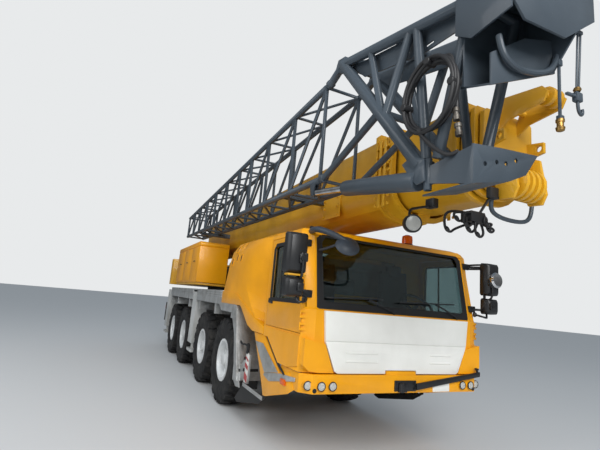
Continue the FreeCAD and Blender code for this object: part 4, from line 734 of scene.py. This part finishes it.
class CRANE_OT_mirrors(Operator):
    """Fit the mirrors' bands, knuckles, arms and glass, and the front mirror"""
    bl_idname = "crane.mirror_trim"
    bl_label = "Mirrors"

    def execute(self, context):
        fit("mirror_band_right", "carrier", "boom_yellow",
            (brick, (-1552, -38, 2018), (-1345, 60, 2038), 4))
        fit("mirror_arms", "carrier", "black_plastic",
            (brick, (-1424, -64, 2170), (-1384, -30, 2262), 8),
            (brick, (-1384, -64, 2170), (-1344, -30, 2262), 8),
            (brick, (-1440, -66, 1862), (-1366, -32, 1950), 10),
            (brick, (-1440, -66, 2150), (-1366, -34, 2250), 10),
            (turned, ((26, -16), (30, 0), (26, 16)), (-1404, -62, 2200), (0, -1, 0), 14),
            (turned, ((22, -14), (26, 0), (22, 14)), (-1404, -60, 1906), (0, -1, 0), 14),
            (pipe, ((-1398, 20, 1990), (-1398, -30, 1990), (-1398, -62, 2060),
                    (-1398, -62, 2200)), 14),
            (pipe, ((-1404, 40, 1830), (-1400, 30, 1760), (-1360, 0, 1752), (-1290, 20, 1768),
                    (-1272, 104, 1782)), 13),
            (pipe, ((-1395, 60, 2450), (-1360, 90, 2462), (-1285, 245, 2446)), 13),
            (pipe, ((-1395, 60, 2400), (-1350, 90, 2392), (-1285, 238, 2392)), 11),
            (turned, ((30, -10), (34, 8), (24, 26), (0, 30)), (-1262, 112, 1784), (-1, -0.6, 0),
             18), sharp=38, both=True)
        fit("mirror_glass", "carrier", "chrome",
            (brick, (-1542, 90, 2075), (-1358, 95, 2450), 2),
            (brick, (-1530, 90, 1826), (-1370, 95, 1984), 2), both=True)
        # The front mirror hangs before the right corner from a moulded arch
        fit("front_mirror", "carrier", "black_plastic",
            (pipe, ((-1150, 330, 2560), (-1190, 200, 2570), (-1180, 60, 2560),
                    (-1130, -60, 2520), (-1040, -150, 2470), (-960, -190, 2420)), 34, True, 4),
            (pipe, ((-1085, 190, 2350), (-1060, 40, 2360), (-1010, -130, 2410)), 14),
            (turned, ((0, 64), (60, 58), (118, 30), (134, 0), (120, -12), (0, -16)),
             (-958, -190, 2375), (-0.2, -0.75, 0.62), 28), finish="slate_plastic", sharp=50)
        fit("mirror_cap_left", "carrier", "chrome",
            (turned, ((60, -2), (96, 4), (104, 40), (84, 62), (0, 78)), (1450, -42, 2250),
             (0, -1, 0.1), 24))
        return {"FINISHED"}


def lamp_part(form, profile, spot, axis, radius, sides=28):
    """A part of a round lamp, its profile given in shares of the lamp's radius."""
    turned(form, [(radius * share, radius * along) for share, along in profile], spot, axis, sides)


def lamp_bowl(form, *lamp):
    """A lamp's bowl with its bulb."""
    lamp_part(form, ((0.35, -0.5), (0.8, -0.2), (0.9, 0), (0.84, 0), (0.7, -0.2), (0.3, -0.42)),
              *lamp)
    lamp_part(form, ((0.16, -0.4), (0.16, -0.12), (0, -0.06)), *lamp, 12)


def lamp_glass(form, *lamp):
    """A lamp's domed lens."""
    lamp_part(form, ((0.88, 0), (0.86, 0.07), (0.6, 0.16), (0, 0.2)), *lamp)


def lamp_rim(form, spot, axis, radius):
    """The rim that holds a lamp's lens."""
    turned(form, [(radius * share, along) for share, along in (
        (0.86, -2), (0.86, 5), (0.93, 9), (1.02, 6), (1.06, -2))], spot, axis, 28)


BUMPER_LAMPS = [((sign * x, y, 920), (0, -1, 0), 46)
                for x, y in ((1190, 22), (1055, -26), (920, -26)) for sign in (-1, 1)]
WORK_LAMP = ((-740, -960, 2560), (-0.35, -0.9, -0.1), 82)


class CRANE_OT_lamps(Operator):
    """Fit the bumper lamps, the side and tail lamps, the beacon and the work lamp"""
    bl_idname = "crane.lamps"
    bl_label = "Lamps"

    def execute(self, context):
        for name, slot, shape, finish in (("lenses", "glass", lamp_glass, "lens"),
                                          ("bowls", "chrome", lamp_bowl, None),
                                          ("rims", "black_plastic", lamp_rim, None)):
            fit("bumper_lamp_" + name, "carrier", slot, *((shape, *lamp) for lamp in BUMPER_LAMPS),
                finish=finish)
        fit("work_lamp_lens", "boom_section_1", "glass", (lamp_glass, *WORK_LAMP), finish="lens")
        fit("work_lamp_bowl", "boom_section_1", "chrome", (lamp_bowl, *WORK_LAMP))
        fit("work_lamp_housing", "boom_section_1", "black_plastic", (lamp_rim, *WORK_LAMP),
            (turned, ((0, -120), (52, -112), (84, -60), (88, -4), (80, -4)), *WORK_LAMP[:2], 28),
            (pipe, ((-735, -900, 2640), (-730, -880, 2700), (-640, -860, 2740),
                    (-430, -840, 2800)), 13),
            (brick, (-450, -900, 2780), (-380, -790, 2874), 4))
        fit("beacon_lens", "carrier", "glass",
            (turned, ((70, 0), (72, 60), (66, 110), (30, 128), (0, 130)), (400, 480, 2640),
             (0, 0, 1), 28), finish="amber")
        fit("beacon_foot", "carrier", "black_plastic",
            (turned, ((78, -26), (80, -6), (74, 4)), (400, 480, 2640), (0, 0, 1), 28),
            (turned, ((26, -6), (28, 20), (20, 30), (0, 32)), (-1130, 345, 2606), (0, 0, 1), 16))
        fit("side_lamps", "carrier", "glass", (brick, (-1290, 395, 838), (-1262, 520, 900), 8),
            finish="amber", both=True)
        fit("tail_lamps", "carrier", "glass",
            *((brick, (x - 52, 10470, 1140), (x + 52, 10499.5, 1230), 12) for x in (-1205, -1075)),
            finish="red_lens", both=True)
        return {"FINISHED"}


class CRANE_OT_bumper(Operator):
    """Fit the black folding arm, the blank plate, the towing eyes and the steps' treads"""
    bl_idname = "crane.bumper_trim"
    bl_label = "Bumper fittings"

    def execute(self, context):
        fit("folding_arm", "carrier", "black_plastic",
            (brick, (-105, -14, 858), (204, 10, 974), 6), (brick, (-60, -34, 850), (60, -10, 940), 6),
            (turned, ((30, -50), (30, 50)), (-22, -24, 900), (0, 0, 1), 18),
            (plank, ((196, -8, 872), (1210, -8, 1020), (1210, -8, 1078), (196, -8, 944)),
             (0, -28, 0), 7),
            (spar, (1190, -22, 1040), (1150, -22, 1122), 22, 26, 5),
            (turned, ((12, -24), (12, 24)), (1160, -22, 1112), (0, 1, 0), 12),
            *((turned, ((13, 0), (13, 10), (9, 12)), (x, -14, z), (0, -1, 0), 6)
              for z in (950, 880) for x in (-80, 180)))
        fit("number_plate_blank", "carrier", "panel_white",
            (brick, (462, -6, 846), (722, 2, 942), 4))
        fit("towing_eyes", "carrier", "black_plastic",
            *((turned, ((10, 2), (22, 2), (24, -4), (16, -8), (10, -6)), (x, -4, 873),
               (0, -1, 0), 18) for x in (-1120, 1120)))
        # The skirt that closes the step below its tread, down to the bumper's foot
        fit("step_skirt", "carrier", "cab_yellow",
            (plank, flank(-1258, ((1058, 592), (975, 598), (340, 768), (200, 836), (200, 850),
                                  (340, 1000), (569, 934), (1050, 850))), (-8, 0, 0), 2), both=True)
        # A black sheet in the gap between the step column and the panel over it: painted shade where
        # the gap lies dark
        fit("step_gap_painted_shade", "carrier", "black_plastic",
            (plank, flank(-1266, ((1130, 1346), (1160, 1332), (664, 1012), (460, 930), (440, 950),
                                  (636, 1038))), (-8, 0, 0), 2), finish="rubber", both=True)
        # Tread plate on the step column and serrated edges on the treads
        fit("step_plates", "carrier", "deck_aluminium",
            (plank, flank(-1269, ((1482, 1188), (1186, 1190), (640, 940), (1050, 856))),
             (-4, 0, 0), 1),
            (plank, flank(-1262, ((1076, 826), (1050, 856), (569, 936), (173, 968), (173, 930),
                                  (880, 790))), (-12, 0, 0), 2),
            (brick, (-1255, 130, 1024), (-1040, 420, 1034), 2), both=True)
        tooth = bmesh.new()
        brick(tooth, (-1268, 640, 926), (-1240, 652, 944), 2)
        teeth = repeated(tooth, row, 16, (0.0, 0.024, -0.0052), "deck_aluminium")
        fit("step_teeth", "carrier", "deck_aluminium", (bmesh.types.BMesh.from_mesh, teeth),
            both=True)
        return {"FINISHED"}


# Air holes in the engine cover's flank, on its skin
COVER_HOLES = ((-1193, 2700, 2548), (-1206, 2951, 2535), (-1242, 2834, 2384),
               (-1251, 3080, 2327), (-1244, 2620, 2372))


def oval(form, profile, spot):
    """A ring turned on the cover's leaning skin and drawn together lengthwise to an oval."""
    first = len(form.verts)
    turned(form, profile, spot, (-0.88, 0.0, 0.47) if spot[2] > 2450 else (-0.99, 0.0, 0.15), 24)
    form.verts.ensure_lookup_table()
    middle = at(*spot).y
    for vert in form.verts[first:]:
        vert.co.y = middle + (vert.co.y - middle) * 0.6


class CRANE_OT_cover_holes(Operator):
    """Fit rims round the oval air holes in the engine cover's flanks, with black discs in them as
    painted shade
    """
    bl_idname = "crane.cover_holes"
    bl_label = "Cover grilles"

    def execute(self, context):
        # The black discs inside the rims are painted shade: the dark inside of each air hole
        for name, slot, profile in (
                ("cover_hole_rims", "cab_yellow", ((62, -4), (62, 5), (74, 7), (82, -4))),
                ("cover_hole_shade", "black_plastic", ((0, 2), (62, 2), (62, -3), (0, -3)))):
            fit(name, "carrier", slot, *((oval, profile, spot) for spot in COVER_HOLES), both=True)
        return {"FINISHED"}


BOARD = ((1815, 562), (1802, 640), (1802, 948), (1870, 972), (1938, 948), (1948, 562))


class CRANE_OT_boards(Operator):
    """Face the marker boards with red and white stripes and hang the mud flaps"""
    bl_idname = "crane.marker_boards"
    bl_label = "Marker boards"

    def execute(self, context):
        for side, sign in SIDES:
            fit("marker_board_" + side, "carrier", "panel_white",
                (plank, flank(sign * 1219, BOARD), (sign * 3, 0, 0), 1), finish="white_film")
            fit("marker_stripes_" + side, "carrier", "panel_white",
                *((plank, flank(sign * 1222.5, ((1812, low), (1812, low + wide),
                                                (1940, low + wide + 40), (1940, low + 40))),
                   (sign * 2, 0, 0)) for low, wide in ((568, 96), (735, 60), (850, 30))),
                finish="red_film")
        fit("mud_flaps", "carrier", "black_plastic",
            (plank, flank(-1238, ((1010, 612), (1104, 560), (1872, 560), (2200, 290), (2060, 262),
                                  (1222, 445), (1000, 575))), (-10, 0, 0), 2),
            (plank, ((-1240, 2122, 420), (-1240, 2160, 700), (-930, 2160, 700), (-930, 2122, 420)),
             (0, 8, 0), 2),
            *((brick, (-1236, 1940, z), (-1190, 1990, z + 40), 6) for z in (700, 860)),
            (brick, (-1236, 1870, 950), (-1196, 1930, 1100), 14),
            (pipe, ((-1216, 1930, 1060), (-1210, 2080, 1075), (-1205, 2200, 1040),
                    (-1200, 2330, 1080)), 15), finish="rubber", both=True)
        fit("flap_rails", "carrier", "deck_aluminium",
            (spar, (-1252, 1880, 546), (-1252, 1090, 540), 6, 50, 2), both=True)
        return {"FINISHED"}


class CRANE_OT_wheel_nuts(Operator):
    """Fit the wheel nuts and the hub's bolts"""
    bl_idname = "crane.wheel_nuts"
    bl_label = "Wheel nuts"

    def execute(self, context):
        rings = []
        for profile, circle, copies, start in (
                (((0.0001, 0.062), (0.017, 0.062), (0.019, 0.058), (0.019, 0.034),
                  (0.026, 0.032), (0.026, 0.024)), 0.1675, 10, math.pi / 10),
                (((0.0001, 0.118), (0.010, 0.118), (0.010, 0.108)), 0.088, 12, 0.0)):
            nut = bmesh.new()
            lathe(nut, profile, 6)
            bmesh.ops.translate(nut, verts=nut.verts, vec=(0, 0, circle))
            rings.append(repeated(nut, ring, copies, start, "wheel_silver"))
        list(on_wheels("wheel_nuts_", "wheel_silver", rings))
        return {"FINISHED"}


class CRANE_OT_boom(Operator):
    """Fit the boom's collar bolts, side plates, guard loop, hose bundle and drum rope"""
    bl_idname = "crane.boom_trim"
    bl_label = "Boom fittings"

    def execute(self, context):
        bolts = bmesh.new()
        for y in (-232, 3):
            turned(bolts, ((20, 0), (20, 12), (15, 16)), (-496, y, 2930), (-1, 0, 0), 6)
        bolts = repeated(bolts, row, 9, (0.0, 0.0, 0.1), "axle_grey")
        fit("collar_bolts", "boom", "boom_yellow", (bmesh.types.BMesh.from_mesh, bolts),
            *((brick, (-512, y - 22, 2900), (-494, y + 22, 3730), 4) for y in (-160, -70)),
            both=True)
        fit("boom_side_plates", "boom", "boom_yellow",
            (brick, (-470, 880, 2950), (-449, 1350, 3270), 6),
            *((turned, ((17, 0), (17, 12), (12, 16)), (-470, y, z), (-1, 0, 0), 6)
              for y in (930, 1300) for z in (2990, 3110, 3230)), both=True)
        fit("head_guard_loop", "boom_section_4", "jib_slate",
            (pipe, ((282, -1340, 3240), (345, -1350, 3230), (378, -1350, 3140), (378, -1350, 2900),
                    (350, -1350, 2730), (240, -1350, 2664), (-60, -1350, 2660),
                    (-215, -1350, 2720), (-215, -1380, 2810)), 20, True, 4),
            *((spar, (282, -1350, z), (378, -1350, z), 14, 14, 3) for z in (3060, 2950)))
        # Spare hoses strapped up in short loops under the head, with their junction box
        shapes = [(brick, (-500, -1412, 2560), (-330, -1290, 2655), 8),
                  (spar, (-250, -1400, 2830), (-360, -1370, 2650), 40, 12, 3),
                  (brick, (-300, -1440, 2800), (-190, -1390, 2900), 6)]
        for i in range(7):
            x = -720 + 82 * i
            sag = 2430 + 34 * ((i * 3) % 4)
            y = -1350 - 22 * (i % 3)
            shapes += ((pipe, ((-480 + 30 * i, y, 2640), (x - 30, y - 20, 2640 - 20 * (i % 2)),
                               (x - 60, y - 30, sag + 40), (x + 30, y - 10, sag),
                               (x + 110, y + 10, sag + 60), (-400 + 20 * i, y + 20, 2570)), 11),
                       (turned, ((16, -20), (19, 0), (16, 20)), (x - 20, y - 28, sag + 26),
                        (1, 0.2, -0.6), 10))
        fit("head_hose_bundle", "boom_section_4", "black_plastic", *shapes, finish="hose")
        # Rope wound on the hoist drum: one turn of grooves beside the next
        profile = [(0.2105, -0.466)]
        for i in range(31):
            x = -0.465 + 0.03 * i
            profile += [(0.235, x), (0.245, x + 0.006), (0.247, x + 0.015), (0.245, x + 0.024)]
        rope = bmesh.new()
        lathe(rope, profile + [(0.235, 0.465), (0.2105, 0.466)], 48, closed=True)
        bmesh.ops.translate(rope, verts=rope.verts, vec=at(0, 9620, 2390))
        done("drum_rope", rope, "hoist_drum", "axle_grey", "rope", 75)
        return {"FINISHED"}


class CRANE_OT_jib(Operator):
    """Fit the strapped hose coil, the hanging link, the hook, the hoses and the chromed rod"""
    bl_idname = "crane.jib_trim"
    bl_label = "Jib fittings"

    def execute(self, context):
        coil = []
        for turn in range(4):
            angles = [2 * math.pi * (i / 24 + 0.07 * turn) for i in range(25)]
            swells = [1 + 0.05 * math.sin(a * 2 + turn * 1.7) + 0.025 * turn for a in angles]
            coil.append((pipe, [(-1256 - 17 * turn, -1716 + 250 * swell * math.cos(a),
                                 3335 + 262 * swell * math.sin(a))
                                for a, swell in zip(angles, swells)], 15))
        fit("jib_hose_coil", "boom", "black_plastic", *coil,
            (pipe, ((-1256, -1716, 3590), (-1250, -1850, 3620), (-1240, -1905, 3560),
                    (-1235, -1935, 3300), (-1238, -1945, 3120)), 15),
            (pipe, ((-1310, -1640, 3080), (-1290, -1720, 2960), (-1260, -1830, 2860),
                    (-1230, -1890, 2830), (-1200, -1930, 2860)), 15),
            *((turned, ((26, -46), (30, -40), (30, 40), (26, 46)), (-1282, y, z), (1, 0, 0), 12)
              for y, z in ((-1720, 3602), (-1470, 3330), (-1960, 3330))), finish="hose")
        fit("jib_hose_ends", "boom", "chrome",
            *((turned, ((16, -50), (24, -46), (24, -10), (19, -6), (19, 14), (26, 18), (26, 44),
                        (14, 50)), (-1240, y, z), (0, 0.12, 1), 12)
              for y, z in ((-1940, 3110), (-1962, 2990))), finish="rope")
        # The small hook's two falls hang from a stub under the housing, clear of the boom's
        # sections as they slide out
        fit("jib_hanging_link", "boom", "jib_slate",
            (spar, (-585, -2240, 3700), (-600, -2245, 3130), 20, 20, 5),
            *((brick, (-618, -2262, z - 24), (-574, -2226, z + 24), 6) for z in (3560, 3140)),
            (spar, (-584, -2330, 3783), (-470, -2330, 3783), 30, 26, 4),
            (pipe, ((-478, -2330, 3783), (-503, -2330, 3537), (-529, -2330, 3301)), 7),
            (pipe, ((-510, -2330, 3783), (-535, -2330, 3537), (-554, -2330, 3301)), 7),
            (brick, (-574, -2350, 3244), (-510, -2309, 3310), 8),
            (pipe, ((-542, -2330, 3249), (-544, -2330, 3188), (-508, -2330, 3152),
                    (-489, -2330, 3180), (-497, -2330, 3203)), 11),
            (spar, (-662, -2330, 3273), (-499, -2330, 3284), 22, 18, 4),
            (pipe, ((-1180, -2230, 3560), (-1170, -2240, 3440), (-1060, -2240, 3372),
                    (-900, -2240, 3384), (-740, -2240, 3436), (-640, -2240, 3520),
                    (-600, -2235, 3620)), 21))
        fit("jib_link_ends", "boom", "chrome",
            (turned, ((14, -34), (26, -28), (30, -6), (22, 0), (22, 30), (28, 34), (28, 52),
                      (14, 60)), (-602, -2246, 3080), (0, 0, 1), 14),
            (turned, ((20, -14), (26, 0), (20, 14)), (-542, -2330, 3334), (0, 0, 1), 14),
            finish="brass")
        fit("jib_cylinder_rod", "boom", "chrome",
            (turned, ((34.6, 0), (35.2, 4), (35.2, 622), (34.6, 626)), (-1200, 143, 2989.7),
             (0, -635, -85), 28))
        return {"FINISHED"}


class CRANE_OT_superstructure(Operator):
    """Fit the hood's handles and rails, the counterweight's bolts and the operator's wiper"""
    bl_idname = "crane.superstructure_trim"
    bl_label = "Superstructure fittings"

    def execute(self, context):
        fit("superstructure_handles", "superstructure", "axle_grey",
            *((pipe, ((-1272, y - 80, 2500), (-1300, y - 70, 2500), (-1300, y + 70, 2500),
                      (-1272, y + 80, 2500)), 9) for y in (6440, 7400, 8400)),
            *((turned, ((26, 0), (26, 18), (18, 24)), (x, y, z), (0, 1, 0), 6)
              for x, y in ((-1180, TAIL - 124), (1180, TAIL - 124), (-620, TAIL), (0, TAIL),
                           (620, TAIL)) for z in (2120, 2560)),
            *((pipe, ((x, 10100, 2748), (x, 10100, 2850), (x, 10300, 2850), (x, 10300, 2748)), 20)
              for x in (-700, 700)))
        fit("operator_door_handle", "operator_door", "black_plastic",
            (spar, (1290, 6040, 2700), (1290, 6060, 3150), 18, 18, 5),
            (brick, (1272, 6790, 2680), (1290, 6850, 2760), 5))
        fit("operator_wiper", "superstructure", "black_plastic",
            (spar, (900, 5566, 2640), (1010, 5644, 3080), 14, 18, 3),
            (spar, (905, 5520, 2560), (925, 5592, 2800), 12, 22, 3),
            (turned, ((22, -30), (22, 6), (0, 10)), (905, 5514, 2545), (0, -1, 0.2), 14))
        return {"FINISHED"}


class CRANE_OT_seats(Operator):
    """Upholster the driver's, the mate's and the operator's seats"""
    bl_idname = "crane.seats"
    bl_label = "Seats"

    def execute(self, context):
        for name, x, half, back, low, body in (
                ("seat_driver", 620, 236, 1094, 1560, "carrier"),
                ("seat_mate", -620, 236, 1094, 1560, "carrier"),
                ("seat_operator", 925, 226, 6784, 2440, "superstructure")):
            cushion = fit(name + "_cushion", body, "interior",
                          (brick, (x - half, back - 500, low - 22), (x + half, back - 20, low + 136),
                           46), finish="seat_cloth", sharp=80)
            rest = fit(name + "_back", body, "interior",
                       (plank, flank(x - half, ((back - 148, low + 110), (back - 108, low + 620),
                                                (back - 84, low + 690), (back, low + 690),
                                                (back, low + 110))), (2 * half, 0, 0), 34),
                       (brick, (x - 120, back - 118, low + 672), (x + 120, back - 6, low + 830),
                        38), finish="seat_cloth", sharp=80)
        return {"FINISHED"}


# Stage

class CRANE_OT_stage(Operator):
    """Set the camera, the floor, the sky and the soft lamps"""
    bl_idname = "crane.stage"
    bl_label = "Stage"

    def execute(self, context):
        scene = context.scene
        settings = scene.crane_camera
        yaw, pitch, roll = settings.turn
        ahead = Vector((math.sin(-yaw) * math.cos(pitch), math.cos(yaw) * math.cos(pitch),
                        math.sin(pitch)))
        level = ahead.cross(Vector((0, 0, 1))).normalized()
        right = math.cos(roll) * level + math.sin(roll) * level.cross(ahead)
        lens = bpy.data.cameras.new("photo camera")
        lens.lens = settings.lens
        lens.sensor_width = 36.0
        lens.clip_end = 200.0
        camera = bpy.data.objects.new("photo camera", lens)
        scene.collection.objects.link(camera)
        axes = Matrix((right, right.cross(ahead), -ahead)).transposed().to_4x4()
        camera.matrix_world = Matrix.Translation(settings.place) @ axes
        scene.camera = camera
        scene.view_settings.view_transform = "Standard"

        form = bmesh.new()
        bmesh.ops.create_grid(form, x_segments=1, y_segments=1, size=90.0)
        mesh = bpy.data.meshes.new("studio floor")
        form.to_mesh(mesh)
        form.free()
        floor = bpy.data.objects.new("studio floor", mesh)
        scene.collection.objects.link(floor)
        # Matt painted studio floor: pale and even, so that it only carries the shadow
        paint = blank("matt studio floor paint")[0]
        mesh.materials.append(shade(paint, {"Base Color": linear("C9CACA"), "Roughness": 0.9}))

        scene.world = bpy.data.worlds.new("studio sky")
        scene.world.use_nodes = True
        tree = scene.world.node_tree
        tree.nodes.clear()
        seen = add(tree, "ShaderNodeLightPath").outputs
        place = add(tree, "ShaderNodeTexCoord").outputs["Generated"]
        height = add(tree, "ShaderNodeSeparateXYZ", {"Vector": place}).outputs["Z"]
        sky = add(tree, "ShaderNodeValToRGB", {"Fac": height}, (
            (0.0, linear("8E8F90")), (0.5, linear("D9DDE0")), (1.0, linear("B9CBDD"))))
        # Paint mirrors a darker hall than the one that lights it, and the camera sees it plain
        lit, dim = (add(tree, "ShaderNodeBackground", {"Color": sky, "Strength": strength})
                    for strength in (0.75, 0.4))
        shown = add(tree, "ShaderNodeBackground", {"Color": linear("E8EAEB"), "Strength": 1.0})
        hall = add(tree, "ShaderNodeMixShader", {0: seen["Is Glossy Ray"], 1: lit, 2: dim})
        straight = add(tree, "ShaderNodeMath", {0: seen["Is Camera Ray"],
                                                1: seen["Is Transmission Ray"]},
                       operation="MAXIMUM")
        add(tree, "ShaderNodeOutputWorld", {
            "Surface": add(tree, "ShaderNodeMixShader", {0: straight, 1: hall, 2: shown})})

        # A big soft lamp high in front and to the right, and a weak one from the right
        for name, spot, aim, power in (("soft key", (-4, -15, 9), (0, -1, 1.5), 1900.0),
                                       ("soft fill", (-13, -3, 7), (0, 0, 1.5), 550.0)):
            lamp = bpy.data.lights.new(name, "AREA")
            lamp.size = 8.0
            lamp.energy = power
            stand = bpy.data.objects.new(name, lamp)
            scene.collection.objects.link(stand)
            stand.location = spot
            stand.rotation_euler = (Vector(aim) - Vector(spot)).to_track_quat("-Z", "Y").to_euler()
        return {"FINISHED"}


class CRANE_PT_panel(bpy.types.Panel):
    """The crane's pieces in the 3D view's sidebar"""
    bl_idname = "CRANE_PT_panel"
    bl_label = "Crane"
    bl_space_type = "VIEW_3D"
    bl_region_type = "UI"
    bl_category = "Crane"

    def draw(self, context):
        for operator in OPERATORS:
            self.layout.operator(operator.bl_idname)
        for group, kind in GROUPS:
            for name in kind.__annotations__:
                self.layout.prop(getattr(context.scene, group), name)


OPERATORS = (
    CRANE_OT_stage, CRANE_OT_finishes, CRANE_OT_tyres, CRANE_OT_shells, CRANE_OT_windscreen,
    CRANE_OT_doors, CRANE_OT_mirrors, CRANE_OT_lamps, CRANE_OT_bumper, CRANE_OT_boards,
    CRANE_OT_wheel_nuts, CRANE_OT_cover_holes, CRANE_OT_boom, CRANE_OT_jib,
    CRANE_OT_superstructure, CRANE_OT_seats,
)
GROUPS = (("crane_colours", CraneColours), ("crane_tyres", CraneTyres),
          ("crane_camera", CraneCamera))


def register():
    for name, group in GROUPS:
        bpy.utils.register_class(group)
        setattr(bpy.types.Scene, name, bpy.props.PointerProperty(type=group))
    for kind in (*OPERATORS, CRANE_PT_panel):
        bpy.utils.register_class(kind)


def unregister():
    for kind in (CRANE_PT_panel, *reversed(OPERATORS)):
        bpy.utils.unregister_class(kind)
    for name, group in GROUPS:
        delattr(bpy.types.Scene, name)
        bpy.utils.unregister_class(group)


def main():
    register()
    for operator in OPERATORS:
        group, call = operator.bl_idname.split(".")
        getattr(getattr(bpy.ops, group), call)()


if __name__ == "__main__":
    main()
